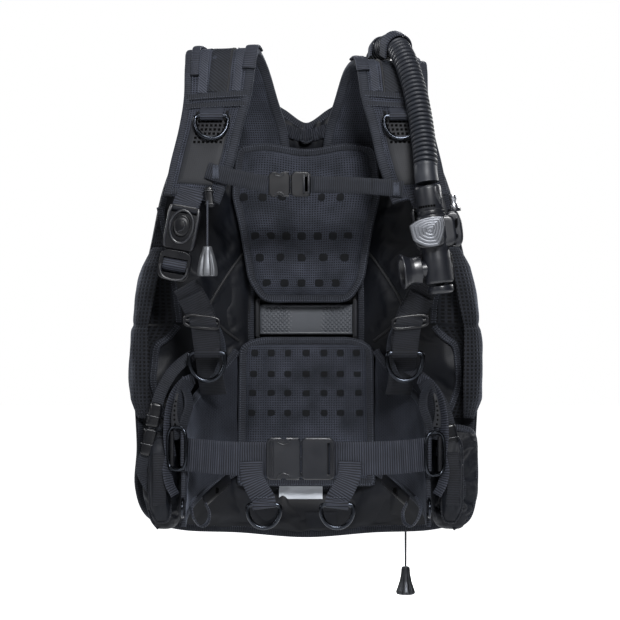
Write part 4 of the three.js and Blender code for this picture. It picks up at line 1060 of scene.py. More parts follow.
def makeWings():
    for side, sign in sides.items():
        u, v = np.meshgrid(np.linspace(0, 1, 70), np.linspace(0, 1, 56), indexing="ij")
        half = (4 + 4 * np.sin(pi * v)) / 2
        crease = 1.4 * waves(u * 180, v * 190, 21 + sign, 80) * np.sin(pi * v)
        front = wingSurface(sign, u, v, half + 0.3 + crease)
        back = wingSurface(sign, u, v, -half + crease)
        if ((front - back)[..., 1]).mean() > 0:
            front, back = back, front
        piece = slabMesh(f"cummerbund_cloth_{side}", front, back, wingCloth)
        fit(finer(piece), "vest", "padded_mesh", f"cummerbund_{side}")
        pace = np.linspace(0, 1, 60)
        edges = {"Top": (pace, 0 * pace + 1, (0, 0, -1)), "Bottom": (pace, 0 * pace, (0, 0, 1)),
            "Front": (0 * pace + 1, pace, None)}
        for label, (eu, ev, toward) in edges.items():
            path = wingSurface(sign, eu, ev)
            if toward is None:
                toward = unit(wingSurface(sign, eu - 0.05, ev) - path)
            path = path + np.asarray(toward) * 4
            tape = sweep(f"wing{label}Binding_{side}", path, softSection(12, 7, 4, 18), toward, bindingTape)
            fit(tape)
            normal = unit(np.cross(tangents(path), np.broadcast_to(toward, path.shape)))
            normal = normal * np.sign((normal * (sign * 0.2, -1, 0)).sum(1, keepdims=True))
            row = path + normal * 3.6 + np.asarray(toward) * 3
            fit(stitchRow(f"wing{label}Stitches_{side}", row, normal, sewingThread))
    print("wings made")


# Shoulder straps. The inner and outer edge run from the yoke over the shoulder to the lower end.
strap = {"thick": 9, "rearThick": 5, "hoseDip": 17, "outerBinding": 12, "innerBinding": 15}
strapInner = [[26, -30, 245], [34, -30, 300], [48, -45, 345], [62, -68, 392], [75, -97, 416],
    [80, -126, 392], [86, -150, 343], [100, -170, 288], [112, -185, 234], [133, -195, 176]]
strapOuter = [[118, -32, 245], [122, -32, 300], [130, -47, 348], [152, -70, 394], [181, -97, 413],
    [184, -126, 388], [184, -150, 336], [190, -170, 288], [202, -185, 234], [210, -195, 188]]


def strapAt(sign, u, v, lift=0.0):
    # Place on the strap: u along it, v across it from the inner edge, lift away from the wearer.
    u, v, lift = np.broadcast_arrays(np.asarray(u, float), np.asarray(v, float), np.asarray(lift, float))
    h = 1e-3
    low, high = np.clip(u - h, 0, 1), np.clip(u + h, 0, 1)
    a, b = curveAt(strapInner, u), curveAt(strapOuter, u)
    along = (curveAt(strapInner, high) - curveAt(strapInner, low)) * (1 - v)[..., None]
    along += (curveAt(strapOuter, high) - curveAt(strapOuter, low)) * v[..., None]
    out = unit(np.cross(along, b - a))
    made = a + (b - a) * v[..., None] + out * lift[..., None]
    if sign > 0:
        made[..., 2] -= strap["hoseDip"] * np.exp(-((u - 0.45) / 0.1) ** 2) * (1.1 - 0.1
            * np.abs(2 * v - 1))
    made[..., 0] *= sign
    return made


def strapNormal(sign, u, v):
    normal = unit(strapAt(sign, u, v, 2.0) - strapAt(sign, u, v, 0.0))
    return normal


def strapHalf(u, v):
    t = np.clip((u - 0.15) / 0.2, 0, 1)
    thick = strap["rearThick"] + (strap["thick"] - strap["rearThick"]) * t * t * (3 - 2 * t)
    return thick / 2 * (1.15 - 0.35 * np.abs(2 * v - 1) ** 3)


def strapTape(name, sign, u, v, width, thick, material, lift=0.6, section=None):
    # A tape laid on the strap's face along u and v places.
    half = strapHalf(u, v)
    path = strapAt(sign, u, v, half + lift)
    across = strapAt(sign, u, np.asarray(v) + 0.02, half + lift) - path
    if np.ptp(v) > np.ptp(u):
        across = strapAt(sign, np.asarray(u) + 0.004, v, half + lift) - path
    shape = flatSection(width, thick) if section is None else section
    return fit(sweep(name, path, shape, across, material))


def strapStitches(name, sign, u, v, lift=1.4, material=None, pitch=4.2):
    path = strapAt(sign, u, v, strapHalf(u, v) + lift)
    fit(stitchRow(name, path, strapNormal(sign, u, v), material or sewingThread, pitch))


def zigzag(u, v, reach, turns):
    # A run back and forth across the line between two (u, v) ends, for a bar tack.
    t = np.linspace(0, 1, 2 * turns + 1)
    swing = reach * np.where(np.arange(len(t)) % 2, 1, -1)
    return u[0] + (u[1] - u[0]) * t, v[0] + (v[1] - v[0]) * t + swing


def makeStraps():
    for side, sign in sides.items():
        u, v = np.meshgrid(np.linspace(0, 1, 150), np.linspace(0, 1, 40), indexing="ij")
        half = strapHalf(u, v)
        ease = np.clip(np.minimum(v, 1 - v) * 9, 0, 1) ** 0.5
        soft = 0.5 * waves(u * 420, v * 90, 31 + sign, 70)
        top = strapAt(sign, u, v, half * ease + soft * ease)
        under = strapAt(sign, u, v, -half * ease)
        piece = slabMesh(f"shoulderStrap_{side}", top, under, padKnit)
        fit(finer(piece), "vest", "padded_mesh", f"shoulder_strap_{side}")
        pace = np.linspace(0.02, 1, 110)
        # Bound edges: narrow outside, a wider rolled one inside.
        for label, place, width in (("Outer", 0.965, strap["outerBinding"]),
                ("Inner", 0.05, strap["innerBinding"])):
            path = strapAt(sign, pace, 0 * pace + place)
            across = strapAt(sign, pace, 0 * pace + place + 0.02) - path
            section = softSection(width, 11.5, 3.4, 22)
            fit(sweep(f"strap{label}Binding_{side}", path, section, across, bindingTape))
            inset = 0.9 if label == "Outer" else 0.125
            strapStitches(f"strap{label}Stitches_{side}", sign, pace, 0 * pace + inset, 1.2)
        end = np.linspace(0.0, 1.0, 50)
        path = strapAt(sign, 0 * end + 0.985, end)
        across = path - strapAt(sign, 0 * end + 0.97, end)
        fit(sweep(f"strapEndBinding_{side}", path, softSection(12, 11, 3.4, 20), across, bindingTape))
        # Yoke of pack cloth over the rear half, with its twill and light tapes up to the crest.
        rear = np.linspace(0.03, 0.655, 90)
        tapes = {
            # name: place across at the yoke and at the end, width, thickness, cloth
            "OuterTape": (0.70, 0.745, 15, 1.6, paleTwill),
            "MiddleTwill": (0.45, 0.50, 30, 1.0, twillTape),
            "InnerTape": (0.20, 0.22, 12, 1.6, paleTwill),
        }
        for label, (v0, v1, width, thick, cloth) in tapes.items():
            strapTape(f"strap{label}_{side}", sign, rear, np.linspace(v0, v1, 90), width, thick, cloth)
        for number, (v0, v1) in enumerate(((0.645, 0.685), (0.765, 0.80), (0.145, 0.165), (0.255, 0.275))):
            strapStitches(f"strapTapeStitches_{side}_{number}", sign, rear, np.linspace(v0, v1, 90), 1.5)
        piping = np.linspace(0.03, 0.66, 90)
        strapTape(f"strapPiping_{side}", sign, piping, np.linspace(0.31, 0.35, 90), 3.4, 3.4, pipingCord,
            0.8, roundSection(1.7, 12))
        # Folded tabs of webbing over the crest.
        for label, place, width, span in (("Outer", 0.86, 13, (0.40, 0.60)),
                ("Inner", 0.06, 20, (0.40, 0.585))):
            reach = np.linspace(*span, 46)
            strapTape(f"strap{label}Tab_{side}", sign, reach, 0 * reach + place, width, 4.4, wideWeb, 4.5,
                softSection(width, 5, 3, 20))
        # Two bands sewn across below the crest.
        across = np.linspace(0.02, 0.98, 60)
        for number, (place, width) in enumerate(((0.667, 11), (0.70, 9))):
            strapTape(f"strapCrossBand_{side}_{number}", sign, 0 * across + place, across, width, 2.4,
                narrowWeb, 1.2)
            strapStitches(f"strapCrossStitches_{side}_{number}", sign, 0 * across + place + 0.008, across,
                2.8)
        # Webbing loop folded round the ring's bar and tacked down.
        ring = frame["nodes"][f"chest_d_ring_{side}"]
        low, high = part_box(ring.name)
        barX, barZ = 500 * (low[0] + high[0]), 1000 * high[2] - 2.75
        loop = [(barX, -158.5, barZ + 20), (barX, -163, barZ + 14), (barX, -172.5, barZ + 8.5),
            (barX, -180, barZ + 5.2), (barX, -183.8, barZ + 1), (barX, -182.5, barZ - 4),
            (barX, -178, barZ - 5.4), (barX, -174.4, barZ - 3)]
        fit(ribbon(f"chestRingLoop_{side}", loop, (1, 0, 0), 34, 2.2, wideWeb))
        # Perforated patch and the smooth panel below it.
        pu, pv = np.meshgrid(np.linspace(0.735, 0.955, 60), np.linspace(0.2, 0.84, 50), indexing="ij")
        half = strapHalf(pu, pv)
        rimmed = np.clip(np.minimum(np.minimum(pu - 0.735, 0.955 - pu) * 60,
            np.minimum(pv - 0.2, 0.84 - pv) * 12), 0, 1)
        face = strapAt(sign, pu, pv, half + 0.3 + 1.3 * rimmed ** 0.5)
        panel = slabMesh(f"strapPanel_{side}", face, strapAt(sign, pu, pv, half - 1.5), softPanel)
        fit(panel, "vest", "padded_mesh")
        # The holes are small near-black studs in painted hole shade.
        rows, columns = np.meshgrid(np.linspace(0.756, 0.822, 6), np.linspace(0.27, 0.71, 7), indexing="ij")
        places = strapAt(sign, rows.ravel(), columns.ravel(), strapHalf(rows, columns).ravel() + 1.62)
        normals = strapNormal(sign, rows.ravel(), columns.ravel())
        fit(squareRow(f"strapHoles_{side}", places, normals, 3.7, 0.35, holeShade), "vest", "padded_mesh")
        # Bar tacks either side of the loop.
        for number, place in enumerate((0.28, 0.76)):
            zu, zv = zigzag((0.722, 0.742), (place, place), 0.022, 7)
            strapStitches(f"strapBarTack_{side}_{number}", sign, zu, zv, 2.2, darkThread, 2.2)
    print("shoulder straps made")


# Rings: black-oxide wire bent into a round-cornered D.
rings = {
    # name: (width, height, wire); the bar's middle comes from the frame
    "chest": (50, 36, 6.6), "lower": (54, 42, 6.8), "belt": (48, 34, 6.6), "corner": (27, 22, 4.2),
}


def dOutline(width, height):
    # Bar along the top, a tight bend at each end and a bow below it.
    w, c = width / 2, 6
    t = np.linspace(0, 1, 24)[:, None]
    corner = (1 - t) ** 2 * np.array([w - c, 0]) + 2 * t * (1
        - t) * np.array([w, 0]) + t ** 2 * np.array([w, -c])
    b = [np.array(p) for p in ((w, -c), (w, -0.62 * height), (0.62 * w, -height), (0, -height))]
    bow = (1 - t) ** 3 * b[0] + 3 * t * (1 - t) ** 2 * b[1] + 3 * t ** 2 * (1 - t) * b[2] + t ** 3 * b[3]
    half = np.vstack([[(0, 0)], corner, bow[1:]])
    left = half[::-1][1:-1] * (-1, 1)
    return evenly(np.vstack([half, left]), 96, True)


def makeRings():
    for kind, (width, height, wire) in rings.items():
        for side in sides:
            node = f"{kind}_d_ring_{side}"
            low, high = boxOf(node)
            outline = dOutline(width, height)
            flat = np.stack([outline[:, 0], 0 * outline[:, 0], outline[:, 1]], 1)
            across = np.broadcast_to((0.0, 1.0, 0.0), flat.shape)
            if kind == "corner":
                flat = turned(turned(flat, "x", -pi / 2), "y", pi / 2)
                across = turned(turned(across, "x", -pi / 2), "y", pi / 2)
            if kind == "chest":
                flat, across = turned(flat, "x", -0.26), turned(across, "x", -0.26)
            points = sweptPoints(flat, roundSection(wire / 2 * 0.99, 14), across, True)
            span = points.reshape(-1, 3)
            points = points + (low + high) / 2 - (span.min(0) + span.max(0)) / 2
            piece = tubeMesh(f"{kind}Ring_{side}", points, blackSteel, True, crease=180)
            fit(piece, f"{kind}_ring_{side}", "coated_steel", node)
    print("rings made")


def makeMouldings():
    for side in sides:
        crisp(f"shoulder_buckle_{side}", "buckle_plastic", acetal, 0.9)
        crisp(f"shoulder_plug_{side}", "buckle_plastic", acetal, 0.9)
    for name, plastic in (("chest", acetal), ("waist", glossyAbs)):
        crisp(f"{name}_buckle_socket", "buckle_plastic", plastic, 0.8)
        crisp(f"{name}_buckle_plug", "buckle_plastic", plastic, 0.8)
    crisp("back_plate", "moulded_plastic", plateNylon, 0.8)
    crisp("cam_frame", "buckle_plastic", acetal, 0.5)
    crisp("cam_lever", "buckle_plastic", acetal, 0.8)
    print("mouldings rounded")


def buckleSpace(sign, points):
    # From the quick-release buckle's own axes to the vest: leaning, with its bottom outwards.
    return turned(np.asarray(points, float), "y", -sign * 0.184) + (sign * 186, -209.5, 138)


def makeQuickReleases():
    for side, sign in sides.items():
        middle = buckleSpace(sign, [(0, 0, 0)])[0]
        turnOut = buckleSpace(sign, [(1, 0, 0)])[0] - middle
        front = buckleSpace(sign, [(0, -1, 0)])[0] - middle
        # Raised oval surround of the push button, and the button's dished face with its hooked rib.
        a = roundAngles(72)
        oval = np.stack([17.2 * np.cos(a), 0 * a - 6.4, 1.5 + 24.6 * np.sin(a)], 1)
        surround = sweep(f"buttonSurround_{side}", buckleSpace(sign, oval),
            softSection(4.4, 4.2, 2.4, 14), front, glossyAbs, True)
        fit(surround, "vest", "buckle_plastic")
        shell = lathePoints(filleted([(0.1, 4.6), (5, 4.2), (9.5, 3.2), (11.4, 3.6), (12.4, 2.6),
            (12.4, 0), (0.1, 0)], 0.8), 48)
        shell = turned(shell, "x", pi / 2) * (1, 1, 1.3) + (0, -6.6, 3)
        button = tubeMesh(f"releaseButton_{side}", buckleSpace(sign, shell).reshape(shell.shape), acetal,
            crease=60)
        fit(button, f"release_button_{side}", "buckle_plastic", f"release_button_{side}")
        hook = curveThrough([(-3, -11.2, 10), (2, -11.4, 11.5), (5, -11.0, 6), (3, -11.4, -2),
            (-4, -11.2, -7)], 40)
        rib = sweep(f"buttonRib_{side}", buckleSpace(sign, hook), roundSection(1.0, 10), front, glossyAbs)
        fit(rib, f"release_button_{side}", "buckle_plastic")
        # Bright rounded flange down both edges and round the lower end of the plug.
        for label, x in (("Inner", -21.6), ("Outer", 21.6)):
            run = np.array([(x * 0.93, -5.4, 31), (x, -6.6, 22), (x * 1.02, -6.9, 0), (x, -6.6, -22),
                (x * 0.93, -5.4, -31)])
            bar = sweep(f"buckle{label}Flange_{side}", buckleSpace(sign, curveThrough(run, 50)),
                softSection(4.2, 3.4, 2.6, 14), turnOut, glossyAbs)
            fit(bar, "vest", "buckle_plastic")
        low = [(-20, -5.6, -58), (-19.5, -6.1, -68), (-13, -6.6, -76.5), (0, -6.9, -79),
            (13, -6.6, -76.5), (19.5, -6.1, -68), (20, -5.6, -58)]
        rim = sweep(f"plugRim_{side}", buckleSpace(sign, curveThrough(low, 70)),
            softSection(4.4, 3.6, 2.6, 14), front, glossyAbs)
        fit(rim, f"shoulder_plug_{side}", "buckle_plastic")
        # Ribbed webbing threaded through the plug's two slots.
        pathLow = [(0, 4.2, -44), (0, 2.6, -47.5), (0, -4.6, -50.5), (0, -7.6, -56), (0, -7.2, -60),
            (0, -2.5, -64.5), (0, 4, -67), (0, 7.5, -72)]
        threaded = sweep(f"plugWeb_{side}", buckleSpace(sign, curveThrough(pathLow, 60)),
            flatSection(35.5, 2.1), turnOut, wideWeb)
        fit(threaded, f"shoulder_plug_{side}", "webbing")
        # Webbing from the strap's end down through the buckle's top slot.
        pathTop = [(-sign * 4, 12.5, 62), (-sign * 3, 9.6, 50), (0, 4, 39), (0, -3.6, 31),
            (0, -5.0, 27.5), (0, 1, 23.6), (0, 8.6, 24), (0, 12.6, 32), (-sign * 2, 15, 46)]
        top = sweep(f"buckleWeb_{side}", buckleSpace(sign, curveThrough(pathTop, 80)),
            flatSection(39, 2.2), turnOut, wideWeb)
        fit(top)
    print("quick releases made")


# Lower shoulder webbing: doubled through a tri-glide above the ring, with its spare loop behind.
flank = {"width": 40, "thick": 2.2, "path": [(181, -201, 52), (170, -196, 34), (158, -190, 10),
    (150, -184, -18), (148, -176, -42), (147, -160, -70), (145, -138, -96), (142, -116, -115)]}


def triGlide(name, middle, across, up, width, height, body="vest"):
    # A three-bar slide: a rounded frame with one bar across its middle.
    across, up = unit(np.asarray(across, float)), unit(np.asarray(up, float))
    a = roundAngles(80)
    c, s = np.cos(a), np.sin(a)
    x = width / 2 * squared(c, 0.5)
    z = height / 2 * squared(s, 0.5)
    loop = evenly(middle + x[:, None] * across + z[:, None] * up, 90, True)
    out = np.cross(across, up)
    frameBar = sweep(name, loop, softSection(4.6, 4.2, 3, 14), np.cross(tangents(loop, True), out),
        acetal, True)
    fit(frameBar, body, "buckle_plastic")
    t = np.linspace(-1, 1, 20)[:, None]
    bar = middle + t * across * (width / 2 - 2)
    fit(sweep(name + "_bar", bar, softSection(4.4, 3.8, 3, 14), up, acetal), body, "buckle_plastic")


def makeLowerWebbing():
    for side, sign in sides.items():
        path = np.array(flank["path"], float) * (sign, 1, 1)
        across = (1, 0, 0.05 * sign)
        # The lower webbing, its doubled layer and its ring loop are drawn in the darker webbing, as painted
        # shade.
        web = ribbon(f"lowerWeb_{side}", path, across, flank["width"], flank["thick"], shadedWeb, 90)
        fit(web, "vest", "webbing", f"lower_webbing_{side}")
        # Second layer from the ring back up through the slide.
        over = [(174, -202.5, 36), (161, -196.5, 11), (156, -200, 1), (154, -201.5, -6),
            (152.5, -192.5, -18), (150, -188.5, -38), (149, -188.2, -46)]
        over = np.array(over, float) * (sign, 1, 1)
        fit(ribbon(f"lowerWebLayer_{side}", over, across, 39, 2.2, shadedWeb, 80))
        triGlide(f"triGlide_{side}", np.array([sign * 156.5, -197.5, -3]), (1, 0, 0.12 * sign),
            (0.12 * -sign, 0, 1), 52, 17)
        # Loop round the ring's bar, and the spare end hanging in a slack loop behind.
        low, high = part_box(f"lower_d_ring_{side}")
        barX, barY, barZ = 500 * (low[0] + high[0]), 500 * (low[1] + high[1]), 1000 * high[2] - 2.75
        loop = [(barX, barY + 5, barZ + 22), (barX, barY + 1, barZ + 10), (barX, barY - 4.6, barZ + 4),
            (barX, barY - 5.2, barZ - 1), (barX, barY - 1.5, barZ - 5), (barX, barY + 3.6, barZ - 3.4),
            (barX, barY + 5.6, barZ + 4)]
        fit(ribbon(f"lowerRingLoop_{side}", loop, (1, 0, 0), 38, 2.3, shadedWeb, 60))
        slack = np.array([(148, -182, 2), (138, -168, -8), (129, -160, -32), (128, -158, -58),
            (134, -160, -78), (141, -157, -88)], float) * (sign, 1, 1)
        fit(ribbon(f"slackLoop_{side}", slack, (0.45 * sign, -1, 0), 22, 1.8, narrowWeb, 70))
    print("lower webbing made")


# Chest strap and waist belt.
def strapBetween(name, points, across, width, thick, cloth, body, node=None, steps=70):
    piece = ribbon(name, points, across, width, thick, cloth, steps)
    return fit(piece, body, "webbing", *([node] if node else []))


def makeChestStrap():
    y, level, middle = -208, 203, -24
    points = [(-149, -199.5, 225), (-130, -202.5, 219), (-104, -205, 212.5), (-80, y, 207),
        (middle - 34, y, level)]
    web = ribbon("chestWebRight", points, (0.1, 0, 1), 25, 2.2, narrowWeb, 80)
    fit(web, "vest", "webbing", "chest_webbing_right")
    points = [(middle + 24, y, level), (60, y, level - 1), (100, -204, level - 3),
        (128, -202.6, level - 5), (146, -200.5, level - 7)]
    web = ribbon("chestWebLeft", points, (0, 0, 1), 25, 2.2, narrowWeb, 90)
    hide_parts("chest_webbing_left")
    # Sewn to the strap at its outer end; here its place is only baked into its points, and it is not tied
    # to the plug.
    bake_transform(web)
    # Doubled end, ladder lock and keeper on the plug's side.
    spare = [(middle + 36, y - 2.6, level), (60, y - 3.0, level - 1.4), (92, -207.6, level - 3),
        (99, -207, level - 3)]
    strapBetween("chestWebSpare", spare, (0, 0, 1), 24, 1.8, narrowWeb, "chest_plug")
    for number, x in enumerate((middle + 21, middle + 28)):
        bar = np.array([(x, y - 5.6, level - 14), (x, y - 6.4, level), (x, y - 5.6, level + 14)])
        fit(sweep(f"chestLadder_{number}", curveThrough(bar, 24), softSection(3.4, 2.6, 2.6, 12),
            (1, 0, 0), glossyAbs), "chest_plug", "buckle_plastic")
    thumbRims("chest", (middle, y, level), 32, 37, 10)
    for side, sign in sides.items():
        u, v = zigzag((0, 1), (0, 0), 1, 9)
        x = sign * (140 - 9 * u)
        z = (222 if sign < 0 else level - 6.5) + 9.5 * v
        path = np.stack([x, 0 * x - 203.9, z], 1)
        fit(stitchRow(f"chestBarTack_{side}", path, (0, -1, 0), sewingThread, 2.4, 2.2, 0.7, 0.3))


def thumbRims(name, middle, half, height, thick):
    # Bright rolled lips round the thumb cut-outs at the top and bottom of a side-release socket.
    x, y, z = middle
    t = np.linspace(-1, 1, 40)
    for label, way in (("Top", 1), ("Bottom", -1)):
        arc = np.stack([x - half / 2 + 6.6 * t * half / 32, 0 * t + y - thick / 2 - 0.2,
            z + way * (height / 2 - 1.4 - 5.2 * half / 32 * np.sqrt(np.clip(1 - t ** 2, 0, 1)))], 1)
        fit(sweep(f"{name}Thumb{label}", evenly(arc, 40), roundSection(1.0, 10), (0, 1, 0), glossyAbs),
            "vest", "buckle_plastic")
    for label, way in (("Top", 1), ("Bottom", -1)):
        edge = np.array([(x - half + 5, y - thick / 2 + 1.2, z + way * (height / 2 - 0.8)),
            (x + half - 6, y - thick / 2 + 1.2, z + way * (height / 2 - 0.8))])
        run = curveThrough(edge, 30)
        left = run[run[:, 0] < x - half / 2 - 7.2 * half / 32]
        right = run[(run[:, 0] > x - half / 2 + 7.2 * half / 32) & (run[:, 0] < x - 1)]
        for piece, part in (("A", left), ("B", right)):
            if len(part) > 3:
                fit(sweep(f"{name}Lip{label}{piece}", evenly(part, 20), roundSection(1.0, 10), (0, 1, 0),
                    glossyAbs), "vest", "buckle_plastic")


belt = {"level": -205, "width": 50, "thick": 2.2, "endY": -209, "middleY": -241, "buckleX": -8,
    "half": 50, "ringX": 184, "tailWidth": 34}


def makeBelt():
    for side, sign in sides.items():
        depth = 9 if sign > 0 else -0.4
        inner = belt["buckleX"] + sign * (belt["half"] - depth)
        flat = sign * (abs(inner) + 42)
        y, z = belt["middleY"], belt["level"]
        points = [(inner, y, z), ((inner + flat) / 2, y - 0.2, z), (flat, y, z),
            (sign * 0.72 * belt["ringX"], y + 11, z + 1),
            (sign * (belt["ringX"] - 4), belt["endY"], z + 4)]
        fine = curveThrough(points, 120)
        section = flatSection(belt["width"], belt["thick"], 4, 9)
        points = sweptPoints(fine, section, (0, 0, 1))
        ripple = 0.5 * np.sin(fine[:, 0] * 2 * pi / 13)[:, None]
        points[..., 1] += ripple
        piece = tubeMesh(f"waistWeb_{side}", points, wideWeb)
        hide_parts(f"waist_belt_{side}")
        if side == "left":
            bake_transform(piece)
        else:
            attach(piece, "vest")
        body = "waist_plug" if side == "left" else "vest"
        # Tail folded down from behind the belt to its ring.
        low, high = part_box(f"belt_d_ring_{side}")
        x, ringY, top = 500 * (low[0] + high[0]), 500 * (low[1] + high[1]), 1000 * high[2] - 2.75
        tail = [(x + sign * 19, y - 2.4, z - 4), (x + sign * 18.4, y - 4.2, z - 17),
            (x + sign * 16, y - 8, z - 30), (x + sign * 8, ringY, z - 46), (x, ringY - 1, top + 8),
            (x, ringY - 4.6, top + 2), (x, ringY - 4.4, top - 2.4), (x, ringY + 0.4, top - 4.8),
            (x, ringY + 4.2, top - 1), (x, ringY + 3.4, top + 10)]
        fit(ribbon(f"beltTail_{side}", tail, (1, 0, -0.12 * sign), belt["tailWidth"], 2.2, wideWeb, 100),
            body, "webbing")
        t = np.linspace(-15, 15, 20)
        row = np.stack([x + t, 0 * t + ringY - 3.4, 0 * t + top + 11], 1)
        fit(stitchRow(f"beltTailStitches_{side}", row, (0, -1, 0), sewingThread), body, "webbing")
        # Side ring that the belt runs through, and the webbing folded round its post.
        ringX, ringZ = sign * 193, -192 if sign < 0 else -200
        a = roundAngles(90)
        c, s = np.cos(a), np.sin(a)
        loop = np.stack([ringX + 14 * squared(c, 0.7), -210.5 + 5 * np.cos(a) * sign,
            ringZ + 32 * squared(s, 0.55)], 1)
        loop = evenly(loop, 110, True)
        fit(sweep(f"sideRing_{side}", loop, roundSection(2.5, 12), (0, 1, 0), blackSteel, True, 180),
            "vest", "coated_steel")
        for number, (dx, r) in enumerate(((-9 * sign, 3.6), (7 * sign, 3.0))):
            t = np.linspace(-26, 26, 24)
            post = np.stack([ringX + dx + 0 * t, 0 * t - 210.5, ringZ + t], 1)
            fit(sweep(f"sidePost_{side}_{number}", post, roundSection(r, 16), (1, 0, 0), acetal
                if number else wideWeb))
    thumbRims("waist", (belt["buckleX"], belt["middleY"], belt["level"]), 50, 62, 13)
    # Ribbed ladder bar where the belt enters the socket, and the same on the plug.
    for body, places in (("vest", (-57, -53, -49)), ("waist_plug", (37, 41))):
        for number, x in enumerate(places):
            bar = np.array([(x, belt["middleY"] - 6.2, belt["level"] - 26),
                (x, belt["middleY"] - 7.2, belt["level"]),
                (x, belt["middleY"] - 6.2, belt["level"] + 26)])
            fit(sweep(f"beltLadder_{body}_{number}", curveThrough(bar, 30),
                softSection(2.6, 2.8, 2.4, 12), (1, 0, 0), glossyAbs), body, "buckle_plastic")
    print("belt made")


# Corrugated hose, its elbow and the power inflator.
hose = {"radius": 18.2, "groove": 4.6, "pitch": 7.4, "smoothStart": 34, "smoothEnd": 22}
hosePath = [[100, 24, 326], [100, 23, 347], [102, 12, 371], [106, -10, 393], [112, -33, 411],
    [121, -62, 423], [131, -90, 427], [140, -115, 421], [148, -138, 405], [156, -158, 381],
    [163, -176, 353], [168, -192, 325], [172, -206, 297], [175, -221, 267], [177, -234, 241],
    [177.4, -243, 217], [179, -245, 203],]
inflator = {"place": (191, -245, 110), "lean": -0.131, "tube": 21}


def makeHose():
    total = lengthOf(curveThrough(hosePath, 400))
    count = int(total / 0.75)
    path = curveThrough(hosePath, count)
    s = np.linspace(0, total, count)
    # Flat lands with rounded grooves between them, fading out into smooth cuffs at both ends.
    phase = (s % hose["pitch"]) / hose["pitch"]
    groove = np.clip(1 - np.abs(phase - 0.5) / 0.3, 0, 1)
    groove = groove * groove * (3 - 2 * groove)
    fade = np.clip((s - hose["smoothStart"]) / 8, 0, 1) * np.clip((total - hose["smoothEnd"] - s) / 4, 0, 1)
    radius = hose["radius"] - hose["groove"] * groove * fade - 0.5 * (1 - fade)
    section = roundSection(1.0, 40)[None] * radius[:, None, None]
    piece = tubeMesh("corrugatedHose", sweptPoints(path, section, (1, 0, 0)), hoseRubber, crease=75)
    fit(piece, "vest", "insert_rubber", "hose")
    # Raised band at the start and the two keepers that hold the hose to the shoulder.
    for name, place, wide, rise in (("hoseStartBand", 0.075, 6, 1.6), ("hoseStartClamp", 0.02, 9, 1.3)):
        i = int(place * count)
        reach = np.arange(i, i + int(wide / 0.75))
        t = np.linspace(-1, 1, len(reach))
        swell = (hose["radius"] + rise * (1 - t ** 6))[:, None, None]
        fit(tubeMesh(name, sweptPoints(path[reach], roundSection(1.0, 40)[None] * swell, (1, 0, 0)),
            glossyAbs), "vest", "moulded_plastic")
    for name, place, width, lift in (("hoseKeeperRear", 0.30, 16, 2.2),
            ("hoseKeeperFront", 0.425, 26, 2.4)):
        i = int(place * count)
        along = tangents(path)[i]
        across = np.array([1.0, 0, 0]) - along * along[0]
        across = across / np.linalg.norm(across)
        up = np.cross(across, along)
        up = up if up[2] > 0 else -up
        a = np.linspace(-0.62 * pi, 0.62 * pi, 60)
        reach = hose["radius"] + lift
        arch = path[i] + reach * np.sin(a)[:, None] * across + reach * np.cos(a)[:, None] * up
        tail = np.clip(np.abs(a) / pi - 0.5, 0, 1)[:, None]
        arch = arch - up * tail * 60 + np.sign(a)[:, None] * across * tail * 22
        fit(sweep(name, arch, softSection(width, 3.0, 5, 24), along, wideWeb))
    # Moulded elbow under the hose's start on the shoulder, and its ridged nut.
    low, _ = boxOf("hose_elbow")
    x, y, z = hosePath[0]
    seat = low[1] + 0.4
    plan = [(x, seat + 4, z - 40), (x, seat + 16, z - 38), (x, y, z - 26), (x, y, z - 12), (x, y, z - 1.6)]
    bendPath = curveThrough(plan, 80)
    t = np.linspace(0, 1, 80)
    swell = 17.3 - 1.6 * np.exp(-((t - 0.35) / 0.2) ** 2)
    section = roundSection(1.0, 40)[None] * swell[:, None, None]
    tube = tubeMesh("elbowTube", sweptPoints(bendPath, section, (1, 0, 0)), glossyAbs)
    flange = lathePoints(filleted([(0.1, 0), (27.6, 0), (27.8, 3.6), (24, 6.2), (19, 7.4), (0.1, 7.4)],
        1.2), 64)
    a = roundAngles(64)
    notch = 1 - 0.045 * np.clip(np.cos(a * 12) * 4, 0, 1)
    flange[..., 0] *= notch
    flange[..., 1] *= notch
    flange = turned(flange, "x", -pi / 2) + (x, seat, z - 40)
    base = tubeMesh("elbowFlange", flange, glossyAbs)
    fit(joinPieces("hoseElbow", [tube, base]), "vest", "moulded_plastic", "hose_elbow")
    print("hose made")


def inflatorSpace(points):
    # From the inflator's own upright axes to the vest.
    return turned(np.asarray(points, float), "y", inflator["lean"]) + np.array(inflator["place"])


def inflatorPiece(name, points, material, closed=False, crease=50):
    points = np.asarray(points, float)
    moved = inflatorSpace(points.reshape(-1, 3)).reshape(points.shape)
    return tubeMesh(name, moved, material, closed, crease)


def plate(outline, front, back, edge=2.0, steps=6, dish=0.0):
    # A plate with a rounded front edge: rows from its back outline to its front face, in X and Z.
    outline = np.asarray(outline, float)
    inward = outline.mean(0) - outline
    inward = unit(inward)
    rows = [(0, back)] + [(edge * (1 - cos(a)), front + edge * (1 - sin(a)))
        for a in np.linspace(0, pi / 2, steps)]
    made = [np.stack([(outline + inward * r)[:, 0], 0 * outline[:, 0] + y, (outline + inward * r)[:, 1]],
        1) for r, y in rows]
    last = outline + inward * edge
    middle = last.mean(0)
    for share in (0.75, 0.5, 0.25, 0.02):
        inner = middle + (last - middle) * share
        made.append(np.stack([inner[:, 0], 0 * inner[:, 0] + front + dish * (1 - share ** 2),
            inner[:, 1]], 1))
    return np.array(made)


def roundedBox(width, height, radius, count=96):
    a = roundAngles(count)
    power = 2 / (2 + 3.2 * (1 - radius / (min(width, height) / 2)))
    c, s = np.cos(a), np.sin(a)
    return evenly(np.stack([width / 2 * squared(c, power), height / 2 * squared(s, power)], 1), count,
        True)


